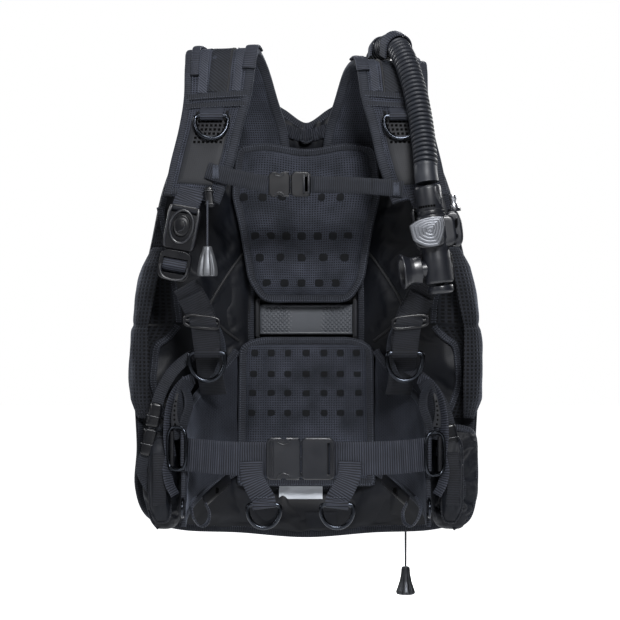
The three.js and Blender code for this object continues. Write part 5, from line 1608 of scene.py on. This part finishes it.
def makeInflator():
    r = inflator["tube"]
    parts = []
    # Main tube: shouldered under the cuff, slightly waisted, with a fine moulded ring.
    profile = filleted([(0.1, -56), (r - 2, -56), (r, -53), (r, -20), (r - 0.6, -8), (r + 0.4, 4),
        (r + 1.9, 9), (r + 2, 38), (r + 0.4, 44), (19.6, 46), (0.1, 46)], 1.5)
    parts.append(inflatorPiece("inflatorTube", lathePoints(profile, 72), glossyAbs))
    cuff = filleted([(0.1, 45.5), (19.4, 45.5), (20, 47), (20, 51), (19.3, 51.6), (19.3, 53.2),
        (20, 53.8), (20, 86), (18.6, 89), (0.1, 89)], 0.8)
    parts.append(inflatorPiece("inflatorCuff", lathePoints(cuff, 72), glossyAbs))
    # Valve housing on the outer side, blended to the tube by a saddle.
    housing = roundedBox(26, 54, 10) + (30, 21)
    front = plate(housing, -12, 0, 5, 8)
    back = front * (1, -1, 1)
    parts.append(inflatorPiece("inflatorHousing", front, glossyAbs))
    parts.append(inflatorPiece("inflatorHousingBack", back, glossyAbs))
    saddle = roundedBox(34, 46, 8) + (16, 20)
    parts.append(inflatorPiece("inflatorSaddle", plate(saddle, -15, 12, 5, 6), glossyAbs))
    # Block behind the silver button.
    block = roundedBox(46, 42, 10) + (-8, 19)
    parts.append(inflatorPiece("inflatorBlock", plate(block, -27, -13, 2.5, 6), glossyAbs))
    # Mouthpiece port.
    port = lathePoints(filleted([(7, -1), (12.4, -1), (13, 0), (13, 15), (12.2, 16), (7.2, 16), (7, 14)],
        0.8), 48)
    port = turned(port, "y", -pi / 2) + (-11, 0, -32)
    parts.append(inflatorPiece("inflatorPort", port, glossyAbs, crease=50))
    body = joinPieces("inflatorBody", parts)
    fit(body, "vest", "moulded_plastic", "inflator_body")
    # Dark windows in the housing, each a shallow sunken plate in painted hole shade: one large teardrop and
    # two small ones below it.
    for number, (x, z, wide, tall, lean) in enumerate(((31, 27, 11, 19, 0.5), (31, 9, 7, 10, 0.4),
            (28, -1.5, 5, 5, 0.3))):
        a = roundAngles(48)
        drop = np.stack([wide / 2 * np.cos(a) * (1 - 0.45 * np.sin(a)), tall / 2 * np.sin(a)], 1)
        turn = np.stack([drop[:, 0] + lean * drop[:, 1], drop[:, 1]], 1) + (x, z)
        sink = plate(turn, -12.25, -11.2, 0.6, 3, dish=0.0)
        fit(inflatorPiece(f"inflatorWindow_{number}", sink, holeShade), "vest", "moulded_plastic")
        rim = np.stack([turn[:, 0], 0 * a - 12.3, turn[:, 1]], 1)
        fit(sweep(f"inflatorWindowRim_{number}", inflatorSpace(rim), roundSection(0.7, 10), (0, 1, 0),
            glossyAbs, True), "vest", "moulded_plastic")
    # Row window and raised tongue on the cuff; the window's sockets are small squares in painted hole
    # shade.
    a = np.linspace(-0.95, 0.25, 7)
    places = np.stack([20 * np.sin(a), -20 * np.cos(a), 0 * a + 58.5], 1)
    normals = np.stack([np.sin(a), -np.cos(a), 0 * a], 1)
    sockets = squareRow("cuffRow", inflatorSpace(places), turned(normals, "y", inflator["lean"]), 3.2,
        0.4, holeShade)
    fit(sockets, "vest", "moulded_plastic")
    t = np.linspace(0, 1, 40)
    angle = 0.55 + 0.28 * np.cos(pi * t) * (1 - t)
    ridge = np.stack([20.4 * np.sin(angle), -20.4 * np.cos(angle), 60 + 26 * t], 1)
    fit(sweep("cuffTongue", inflatorSpace(ridge), softSection(5, 2.4, 2.4, 14), (1, 0, 0), glossyAbs),
        "vest", "moulded_plastic")
    # Silver shield button with ridges that follow its outline.
    t = np.linspace(0, 1, 24)[:, None]
    corners = [((-27, 14), (-10, 26), (22, 22)), ((22, 22), (30, 4), (12, -20)),
        ((12, -20), (-8, -24), (-24, -8)), ((-24, -8), (-26, 3), (-27, 14))]
    outline = np.vstack([((1 - t) ** 2 * np.array(p) + 2 * t * (1 - t) * np.array(q) + t ** 2
        * np.array(w))[:-1] for p, q, w in corners])
    outline = evenly(outline, 120, True)
    middle = outline.mean(0)
    inner = np.linspace(0.86, 0.03, 60)
    shares = np.concatenate([[1.0, 1.0, 0.985, 0.95, 0.9], inner])
    depth = np.concatenate([[-30.6, -35.5, -36.8, -37.6, -38.0],
        -38.0 - 0.9 * (1 - inner ** 2) + 0.55 * np.clip(np.sin(inner * 2 * pi * 5.2), 0, 1) ** 0.7])
    rings = middle + (outline - middle) * shares[:, None, None]
    # The ridges crowd towards the upper right, so the rings slide that way as they shrink.
    rings = rings + (3.0, 1.5) * (1 - shares)[:, None, None]
    shield = np.stack([rings[..., 0] - 9, np.broadcast_to(depth[:, None], rings.shape[:2]),
        rings[..., 1] + 19], 2)
    piece = inflatorPiece("inflateButton", shield, silverPaint, crease=60)
    fit(piece, "inflate_button", "silver_plastic", "inflate_button")
    stem = turned(lathePoints([(0.1, -5), (7, -5), (7, 5), (0.1, 5)], 32), "x", pi / 2) + (-8, -27.5, 19)
    fit(inflatorPiece("inflateStem", stem, acetal), "inflate_button", "moulded_plastic")
    # Bottom button with a soft rounded rim.
    top = -59.5
    cap = filleted([(0.1, top - 12), (r - 5, top - 12), (r - 2, top - 9), (r - 2, top), (7, top),
        (7, top + 12), (0.1, top + 12)], 2)
    fit(inflatorPiece("deflateButton", lathePoints(cap, 64), glossyAbs), "deflate_button",
        "moulded_plastic", "deflate_button")
    # Chromed coupling nipple on its socket.
    nipple = filleted([(0.1, 48.4), (6.5, 48.4), (6.5, 56), (4.6, 58), (4.6, 63.6), (5.6, 65.4),
        (5.6, 70.6), (4.6, 72), (0.1, 72)], 0.7)
    piece = inflatorPiece("inflatorNipple", lathePoints(nipple, 48) + (35, 0, 0), chromePlate)
    fit(piece, "vest", "plated_brass", "inflator_nipple")
    collar = filleted([(6.8, 46.5), (9.6, 46.5), (9.6, 50.5), (8.6, 51.5), (6.8, 51.5)], 0.6)
    collar = inflatorPiece("nippleCollar", lathePoints(collar, 48) + (35, 0, 0), glossyAbs)
    fit(collar, "vest", "moulded_plastic")
    # Flared oval mouthpiece, open right through.
    lip = filleted([(7.4, -1), (17.5, -6), (16.8, 0), (15.6, 6), (15.8, 11), (18.4, 17), (20.8, 20.5),
        (21.2, 22.6), (19.4, 23.8), (15.6, 22.4), (12, 17), (8.6, 11), (7.4, 4)], 1.2)
    lip = lathePoints(lip, 64)
    lip = turned(lip, "y", -pi / 2) * np.array([1, 0.8, 1.25])
    lip = turned(lip, "z", 0.25) + (-32, -1, -32)
    nu, nv = lip.shape[:2]
    moved = inflatorSpace(lip.reshape(-1, 3)).reshape(lip.shape)
    faces, places = latticeFaces(nu, nv, True, True)
    maps = places.reshape(-1, 2) / 1000.0
    mouth = makePiece("mouthpieceLip", moved.reshape(-1, 3), faces, glossyAbs, maps, 60)
    fit(finer(mouth), "vest", "insert_rubber", "mouthpiece")
    # The slot is a dark strip of painted hole shade.
    a = np.linspace(-0.75, 0.75, 30)
    slot = np.stack([-36 - 2.5 * np.cos(a * 2), -11.6 + 2.2 * a ** 2, -32 + 13 * np.sin(a)], 1)
    fit(sweep("mouthpieceSlot", inflatorSpace(slot), softSection(3.6, 1.6, 2.4, 14), (1, 0, 0),
        holeShade), "vest", "insert_rubber")
    print("inflator made")


# Fluted knobs on the pull cords.
knob = {
    "flutes": 6,
    # radius and height down to the skirt; the shoulder one is a fuller bell
    "shoulder": [(5.8, 0), (7.0, -1.2), (7.6, -5), (10.5, -13), (13.6, -24), (15.4, -34)],
    "lower": [(5.4, 0), (6.4, -1.2), (7.0, -5), (7.8, -13), (10.0, -24), (13.4, -34)],
}


def makeKnobs():
    for name in ("shoulder", "lower"):
        low, high = boxOf(name + "_knob")
        x, y, top = (low[0] + high[0]) / 2, (low[1] + high[1]) / 2, high[2]
        profile = filleted([(0.1, 0)] + knob[name]
            + [(15.9, -40.6), (15.4, -43.6), (13.2, -44.9), (9, -44), (5, -41.5), (0.1, -41)], 1.2, 4)
        points = lathePoints(profile, 120)
        a = roundAngles(120)
        h = points[..., 2]
        # Flutes: rounded hollows that begin below the neck and open out at the skirt.
        ease = np.clip((-h - 8) / 10, 0, 1) * np.clip((h + 44.6) / 1.5, 0, 1)
        cutBack = 0.2 * np.clip(np.cos(a * knob["flutes"]), -0.2,
            1) ** 2 * np.sign(np.cos(a * knob["flutes"]).clip(0))
        points[..., :2] *= (1 - cutBack * ease)[..., None]
        points = points + (x, y, top)
        # The lower knob takes the darker silver, as painted shade; the shoulder knob takes the satin
        # silver.
        paint = satinSilver if name == "shoulder" else shadedSilver
        fit(tubeMesh(name + "Knob", points, paint, crease=70), f"{name}_dump_pull", "silver_plastic",
            name + "_knob")
    print("knobs made")


def makeValves():
    for name in ("shoulder", "lower"):
        low, high = boxOf(name + "_valve")
        x, z, seat = (low[0] + high[0]) / 2, (low[2] + high[2]) / 2, low[1]
        body = filleted([(14, 0), (30, 0), (30, 3), (28.5, 4.4), (24.6, 6), (24, 8), (24, 14.5),
            (22.5, 16.2), (12, 17.8), (8, 18), (8, 15), (20, 13), (20, 5), (14, 5)], 0.8)
        points = lathePoints(body, 96)
        a = roundAngles(96)
        far = np.linalg.norm(points[..., :2], axis=2)
        grip = 1 - 0.045 * np.clip(np.cos(a * 16) * 3, 0, 1) * ((points[..., 2] > 6.5) & (far > 21))
        points[..., :2] *= grip[..., None]
        points = turned(points, "x", -pi / 2) + (x, seat, z)
        nu, nv = points.shape[:2]
        faces, places = latticeFaces(nu, nv, True, True)
        piece = makePiece(name + "Valve", points.reshape(-1, 3), faces, glossyAbs,
            places.reshape(-1, 2) / 1000.0, 45)
        fit(piece, "vest", "moulded_plastic", name + "_valve")
        disc = filleted([(0.1, 5.5), (16.5, 5.5), (17, 6), (17, 7.6), (16, 8.2), (6, 9.4), (5, 11),
            (5, 19.6), (4, 21), (0.1, 21)], 0.6)
        points = turned(lathePoints(disc, 48), "x", -pi / 2) + (x, seat, z)
        fit(tubeMesh(name + "Poppet", points, softRubber), name + "_poppet", "insert_rubber",
            name + "_poppet")
    print("valves made")


# Raised-dot elastomer insert between the plate's rails.
insert = {"width": 148, "height": 49, "front": -19.4, "back": -6.6, "pitch": 6.9, "dome": 1.0, "smooth": 22}


def makeInsert():
    across = np.linspace(-1, 1, 300)
    up = np.linspace(-1, 1, 110)
    s, t = np.meshgrid(across, up, indexing="ij")
    corner = (1 - np.abs(s) ** 40) * (1 - np.abs(t) ** 14)
    x, z = s * (insert["width"] / 2 - 0.2), t * (insert["height"] / 2 - 0.2)
    p = insert["pitch"]
    rows = np.round(z / (p / 2))
    shift = (rows % 2) * p / 2
    dx = (x - shift + p / 2) % p - p / 2
    dz = z - rows * p / 2
    dome = np.clip(1 - (dx ** 2 + dz ** 2) / 1.9 ** 2, 0, 1) ** 0.5
    fade = np.clip((np.abs(x) - insert["smooth"]) / 10, 0, 1) * (np.abs(z) < insert["height"] / 2 - 4)
    fade = fade * (np.abs(x) < insert["width"] / 2 - 3)
    lip = 0.9 * np.exp(-((np.abs(z) - insert["height"] / 2 + 2.4) / 1.2) ** 2)
    # The face is crowned across, falls away at its corners, and carries the domes and a lip.
    fall = 1.6 * (1 - np.clip(corner, 0, 1) ** 0.5)
    y = insert["front"] + fall - 0.5 * (1 - t ** 2) + 0.9 - insert["dome"] * dome * fade - lip
    face = np.stack([x, y, z], -1)
    back = np.stack([x, 0 * x + insert["back"], z], -1)
    piece = slabMesh("dottedInsert", face, back, insertBar)
    fit(piece, "vest", "insert_rubber", "plate_insert")
    # Strips of shell cloth close the gap between the plate and the cell's window.
    for side, sign in sides.items():
        strip = np.array([(sign * 85, -5.5, -256), (sign * 85, -5.5, 0), (sign * 85, -5.5, 254)])
        fit(sweep(f"plateStrip_{side}", curveThrough(strip, 40), flatSection(15, 1.6, 4, 3),
            (1, -0.2 * sign, 0), packNylon), "vest", "coated_nylon")
    # Pale strips down both rails, in front of the dark gaps beside them.
    for side, sign in sides.items():
        rail = np.array([(sign * 78, -23.5, -27), (sign * 78, -24.2, 0), (sign * 78, -23.5, 30)])
        fit(sweep(f"railStrip_{side}", curveThrough(rail, 30), softSection(5.4, 2.2, 3, 16), (1, 0, 0),
            softPanel), "vest", "moulded_plastic")
    print("insert made")


# Cargo pockets: a puffed bag with a bound mouth, and the weight pouch that pulls out of its front.
pocket = {"narrow": {"right": 13, "left": 0}, "pressure": 1.6, "cap": 3, "corner": 26, "cornerShare": 0.4}


def pocketRear(x):
    # Just in front of the cell's front panel.
    outer = 255
    share = np.clip((np.abs(x) - 92) / (outer - 92), 0.02, 0.98)
    return cell["plane"] + bend(x) - cell["plump"] * 150 * np.sin(pi * share) ** 0.8 - 8


def makePockets():
    for side, sign in sides.items():
        low, high = boxOf(f"pocket_{side}")
        inner, outer = (low[0], high[0]) if sign > 0 else (-high[0], -low[0])
        outer = outer - pocket["narrow"][side]
        front = low[1]
        # Level rings from the bottom up: each is a rounded oblong, closing in at both ends.
        up, turn = np.meshgrid(np.linspace(0, 1, 64), roundAngles(112), indexing="ij")
        c, s = np.cos(turn), np.sin(turn)
        squeeze = 1 - 0.10 * np.abs(2 * up - 1) ** 5
        close = np.clip(1 - np.abs(2 * up - 1) ** 10, 1e-5, 1) ** 0.28
        middleX, halfX = (inner + outer) / 2, (outer - inner) / 2 * 0.985
        x = middleX + halfX * squeeze * close * squared(c, 0.55)
        # The outer lower corner is cut round, as the hem runs.
        cut = np.clip((x - middleX) / halfX, 0, 1) ** 2 * np.clip(1 - up / pocket["cornerShare"], 0, 1) ** 2
        x = x - pocket["corner"] * cut
        backAt = np.maximum(pocketRear(x), front + 20)
        middleY, halfY = (front + backAt) / 2, (backAt - front) / 2
        y = middleY + halfY * close * squared(s, 0.6)
        z = low[2] + 1 + (high[2] - low[2] - 2) * up + 0.5 * pocket["corner"] * cut
        sag = 1.6 * waves(x, z, 41 + sign, 55) + 0.8 * waves(x, z, 47 + sign, 22)
        y = y + sag * (s < 0) * close
        points = np.stack([sign * x, y, z], -1)
        piece = tubeMesh(f"pocketBag_{side}", points, packNylon, crease=75)
        free = np.clip(-s * 1.4, 0, 1) * np.clip(1 - np.abs(2 * up - 1) ** 6, 0, 1)
        held = np.concatenate([(1 - free).ravel(), [1, 1]])
        puff(piece, held, pocket["pressure"], pocket["cap"], grow=0.05)
        finer(piece)
        fit(piece, "vest", "coated_nylon", f"pocket_{side}")
        # Bound mouth arching over the top and down the outer front edge.
        arch = [(inner + 4, front + 20, high[2] - 26), (inner + 12, front + 8, high[2] - 10),
            (inner + 34, front + 3, high[2] - 4), (outer - 12, front + 9, high[2] - 12),
            (outer - 4, front + 17, high[2] - 42), (outer - 5, front + 16, high[2] - 92),
            (outer - 16, front + 12, high[2] - 138), (inner + 30, front + 10, high[2] - 156)]
        arch = curveThrough(np.array(arch) * (sign, 1, 1), 110)
        fit(sweep(f"pocketBinding_{side}", arch, softSection(11, 5, 4, 18), (0, 0.35, 1), bindingTape))
        fit(stitchRow(f"pocketStitches_{side}", arch + (0, -2.7, 0), (0, -1, 0), sewingThread))
        # Pouch: a stiffened sleeve with a rounded front, a bound rim and a webbing pull.
        name = f"weight_pouch_{side}"
        low, high = boxOf(name)
        w, h = (high[0] - low[0]) / 2, (high[2] - low[2]) / 2
        mx, mz = (high[0] + low[0]) / 2, (high[2] + low[2]) / 2
        a = roundAngles(96)
        c, s = np.cos(a), np.sin(a)
        ring = np.stack([squared(c, 0.5) * w, squared(s, 0.32) * h], 1)
        ring[:, 0] -= sign * pocket["corner"] * 0.5 * np.clip(sign * c, 0, 1) * np.clip(-s, 0, 1) ** 2
        depths = [(0.02, low[1] + 4), (0.3, low[1] + 4.6), (0.55, low[1] + 6.4), (0.75, low[1] + 9.6),
            (0.88, low[1] + 13.6), (0.96, low[1] + 18), (1.0, low[1] + 21)]
        depths += [(1.0, y) for y in np.linspace(low[1] + 25, high[1] - 3, 12)] + [(0.96, high[1])]
        rows = np.stack([np.stack([mx + ring[:, 0] * k, 0 * a + y, mz + ring[:, 1] * k], 1) for k,
            y in depths])
        folds = waves(rows[..., 0] * 1.6, rows[..., 2], 51, 26)
        rows[..., 1] += 2.2 * folds * np.array([0.3, 0.6, 1, 1, 0.7, 0.3] + [0] * (len(depths) - 6))[:,
            None]
        fit(tubeMesh(f"weightPouch_{side}", rows, packNylon, crease=70), name, "coated_nylon", name)
        # The pouch's rim and pull are drawn in the darker webbing, as painted shade.
        rim = np.stack([mx + ring[:, 0] * 0.99, 0 * a + low[1] + 21, mz + ring[:, 1] * 0.995], 1)
        fit(sweep(f"pouchBinding_{side}", evenly(rim, 140, True), softSection(7, 3.2, 3, 14), (0, 1, 0),
            shadedWeb, True), name, "webbing")
        pull = [(mx, low[1] + 9, mz + 42), (mx, low[1] + 3.5, mz + 33), (mx + 1, low[1] + 0.5, mz + 14),
            (mx + 1, low[1] + 0.5, mz - 10), (mx, low[1] + 3.5, mz - 30), (mx, low[1] + 9, mz - 38)]
        fit(ribbon(f"pouchPull_{side}", pull, (1, 0, 0), 20, 2.4, shadedWeb, 60), name, "webbing")
    print("pockets made")


# Narrow side-release buckles on the cinch webbing, with the folded webbing bundles round them.
cinch = {
    # side: buckle middle, lean from upright in radians
    "right": {"at": (-233, -186, -164), "lean": 0.22},
    "left": {"at": (222, -186, -196), "lean": -0.16},
}


def makeCinches():
    for side, sign in sides.items():
        at, lean = np.array(cinch[side]["at"], float), cinch[side]["lean"]

        def seated(points):
            return turned(np.asarray(points, float), "y", lean) + at

        # Socket: a squared barrel, wider at its mouth; the prong end shows below it.
        for name, z0, z1, w0, w1, cloth in (("Socket", 2, 40, 10.5, 9, acetal),
                ("Plug", -42, 1, 8.2, 10.2, acetal)):
            z = np.linspace(z0, z1, 26)
            t = np.linspace(-1, 1, 26)
            wide = w0 + (w1 - w0) * (t + 1) / 2
            close = np.clip(1 - np.abs(t) ** 12, 0, 1) ** 0.4
            a = roundAngles(40)
            c, s = np.cos(a), np.sin(a)
            x = (wide * close)[:, None] * squared(c, 0.6)
            y = (5.6 * close)[:, None] * squared(s, 0.6)
            points = seated(np.stack([x, y, z[:, None] + 0 * x], -1).reshape(-1, 3)).reshape(26, 40, 3)
            fit(tubeMesh(f"cinch{name}_{side}", points, cloth), "vest", "buckle_plastic")
        for number, z in enumerate((-2.5, 19, -24)):
            a = roundAngles(48)
            band = np.stack([10.3 * squared(np.cos(a), 0.6), 6.0 * squared(np.sin(a), 0.6), 0 * a + z], 1)
            fit(sweep(f"cinchRib_{side}_{number}", evenly(seated(band), 60, True), roundSection(0.9, 10),
                (0, 0, 1), glossyAbs, True), "vest", "buckle_plastic")
        out = turned(np.array([1.0, 0, 0]), "y", lean)
        up = [(0, 3, 36), (-1 * sign, 4, 52), (-6 * sign, 6, 74), (-16 * sign, 14, 98),
            (-34 * sign, 26, 120), (-52 * sign, 40, 134)]
        fit(ribbon(f"cinchWebUpper_{side}", seated(up), out, 18, 2, narrowWeb, 80))
        down = [(0, 2, -38), (2 * sign, 4, -52), (0, 10, -68), (-10 * sign, 16, -82), (-22 * sign, 14, -92)]
        fit(ribbon(f"cinchWebLower_{side}", seated(down), out, 18, 2, narrowWeb, 70))
        # Bundle: folded ends hanging between the ring and the wing.
        folds = [([(178, -176, -92), (186, -190, -110), (190, -198, -132), (190, -200, -158),
            (188, -199, -178)], 24), ([(170, -170, -88), (186, -180, -98), (199, -190, -118),
            (205, -196, -146), (206, -198, -176), (203, -198, -206)], 20),
            ([(186, -182, -100), (178, -194, -112), (176, -200, -130), (182, -203, -150),
            (186, -203, -166)], 16), ([(204, -200, -206), (208, -204, -226), (204, -206, -246),
            (196, -206, -262)], 18),]
        for number, (run, width) in enumerate(folds):
            run = np.array(run, float) * (sign, 1, 1)
            fit(ribbon(f"webBundle_{side}_{number}", run, (0.75 * sign, -0.65, 0.1), width, 2.2, wideWeb
                if number % 2 else narrowWeb, 70))
        tab = [(192, -204, -110), (196, -207.5, -128), (197, -208.5, -146), (195, -208, -160)]
        tab = np.array(tab, float) * (sign, 1, 1)
        path = curveThrough(tab, 50)
        wide = np.linspace(3, 13, 50)
        section = flatSection(1, 0.2)[None] * np.stack([wide, 0 * wide + 10], 1)[:, None]
        fit(tubeMesh(f"punchedTab_{side}", sweptPoints(path, section, (1, 0, 0)), softPanel))
        # The tab's holes are dark discs of painted hole shade.
        places = evenly(path[12:46], 6) + (0, -1.3, 0)
        fit(discRow(f"punchedTabHoles_{side}", places, np.broadcast_to((0.0, -1, 0), places.shape), 1.5,
            0.3, holeShade))
    print("cinch buckles made")


def makeCorners():
    for side, sign in sides.items():
        # Webbing loop at the wing's lower corner, and the tab with a round hole beside it.
        loop = [(168, -192, -268), (172, -203, -280), (168, -208, -297), (158, -204, -309),
            (148, -196, -304), (146, -190, -290), (152, -186, -276)]
        loop = np.array(loop, float) * (sign, 1, 1)
        fit(ribbon(f"cornerLoop_{side}", loop, (0.25 * sign, 1, 0), 17, 2.2, wideWeb, 90))
        run = [(118, -110, -252), (130, -132, -262), (142, -152, -272), (154, -170, -282)]
        run = np.array(run, float) * (sign, 1, 1) + (0, -10, 8)
        path = curveThrough(run, 50)
        fit(sweep(f"cornerTab_{side}", path, flatSection(19, 1.8, 4, 3), (0.2 * sign, -0.3, 1), acetal))
        # The hole is a dark disc of painted hole shade.
        middle = path[27] + (-0.9 * sign, -1.2, 0)
        normal = np.array([[-0.75 * sign, -1, 0.1]])
        fit(discRow(f"cornerTabHole_{side}", middle[None], normal, 4.6, 0.3, holeShade))
        # Loop that holds the small corner ring to the wing.
        low, high = boxOf(f"corner_d_ring_{side}")
        x, y, z = (low[0] + high[0]) / 2, high[1] - 2, (low[2] + high[2]) / 2
        fold = [(x, y + 12, z), (x - 2.6 * sign, y + 6, z), (x - 3.4 * sign, y, z),
            (x - 1.6 * sign, y - 3.4, z), (x + 1.6 * sign, y - 3.4, z), (x + 3.4 * sign, y, z),
            (x + 2.6 * sign, y + 6, z), (x, y + 12.5, z)]
        fit(ribbon(f"cornerRingLoop_{side}", fold, (0, 0, 1), 14, 1.6, narrowWeb, 70))
    print("corners made")


# Moulded guide on the right strap, above the shoulder cord.
cordGuide = {"middle": (-145, -205, 184), "width": 14, "depth": 11, "length": 32}


def makeCordGuide():
    x, y, z = cordGuide["middle"]
    t = np.linspace(-1, 1, 30)
    path = np.stack([x + 1.5 * t, y + 0 * t, z - cordGuide["length"] / 2 * t], 1)
    # A squared barrel whose width closes at both ends and swells a little at its mouth.
    size = np.clip(1 - np.abs(t) ** 14, 0, 1) ** 0.4 * (0.92 + 0.08 * t)
    section = softSection(cordGuide["width"], cordGuide["depth"], 4, 32)[None] * size[:, None, None]
    fit(tubeMesh("cordGuide", sweptPoints(path, section, (1, 0, 0)), acetal), "vest", "moulded_plastic")
    for number, row in enumerate((6, 24)):
        rib = path[row] + np.insert(softSection(cordGuide["width"] + 0.6, cordGuide["depth"] + 0.6, 4,
            40), 2, 0, 1)
        fit(sweep(f"cordGuideRib_{number}", evenly(rib, 50, True), roundSection(0.9, 10), (0, 0, 1),
            glossyAbs, True), "vest", "moulded_plastic")
    print("cord guide made")


# Rear: grab handle, tank band with its cam buckle, and what fastens them.
def makeRear():
    low, high = boxOf("grab_handle")
    root, far, level = low[1] + 2, high[1] - 2, (low[2] + high[2]) / 2
    run = [(-60, root, level), (-48, root + 2, level), (-30, far - 6, level), (0, far, level),
        (30, far - 6, level), (48, root + 2, level), (60, root, level)]
    fit(ribbon("grabHandle", run, (0, 0, 1), 25, 4, wideWeb, 120), "vest", "webbing", "grab_handle")
    grip = curveThrough([(-24, far - 3.6, level), (-12, far - 0.8, level), (0, far, level),
        (12, far - 0.8, level), (24, far - 3.6, level)], 50)
    fit(sweep("grabHandleGrip", grip, softSection(27, 9, 3, 28), (0, 0, 1), softRubber))
    for side, sign in sides.items():
        for number, x in enumerate((52, 58)):
            z = np.linspace(-10, 10, 16)
            row = np.stack([0 * z + sign * x, 0 * z + root + 2.8, level + z], 1)
            fit(stitchRow(f"grabHandleStitches_{side}_{number}", row, (0, 1, 0), sewingThread))
    # Tank band: through the plate's slots and round the tank, ending in the cam buckle.
    tank, thick, width, level = 92, 2.6, 50, 100
    reach = tank + thick / 2 + 1
    front = -6
    half = [(0, front - 4), (40, front - 4), (57, front - 3.4), (64, -3), (67, 9), (76, 28), (89, 56),
        (reach, tank), (0.86 * reach, tank + 0.51 * reach), (0.5 * reach, tank + 0.866 * reach),
        (0.2 * reach, tank + 0.98 * reach), (0, tank + reach)]
    loop = half + [(-x, y) for x, y in half[-2:0:-1]]
    path = curveThrough([(x, y, level) for x, y in loop], 260, True)
    fit(sweep("tankBand", path, flatSection(width, thick, 4, 5), (0, 0, 1), wideWeb, True), "vest",
        "webbing", "tank_band")
    rear = tank + reach + thick / 2
    tail = [(24, rear + 2.4, level), (40, rear - 5.5, level), (62, rear - 20, level),
        (80, rear - 42, level), (88, rear - 60, level)]
    fit(ribbon("tankBandTail", tail, (0, 0, 1), 48, 2.4, wideWeb, 70))
    patch = [(64, 150, level), (78, 140, level), (88, 122, level), (94.5, 100, level)]
    fit(ribbon("tankBandClosure", patch, (0, 0, 1), 46, 2.2, liningCloth, 60))
    print("rear made")


makeKnobs()
makeCords()
front, rear = makeCell()
makeGussets(front)
makePads()
makeWings()
makeStraps()
makeRings()
makeMouldings()
makeQuickReleases()
makeLowerWebbing()
makeChestStrap()
makeBelt()
makeHose()
makeInflator()
makeValves()
makeInsert()
makePockets()
makeCinches()
makeCorners()
makeCordGuide()
makeRear()
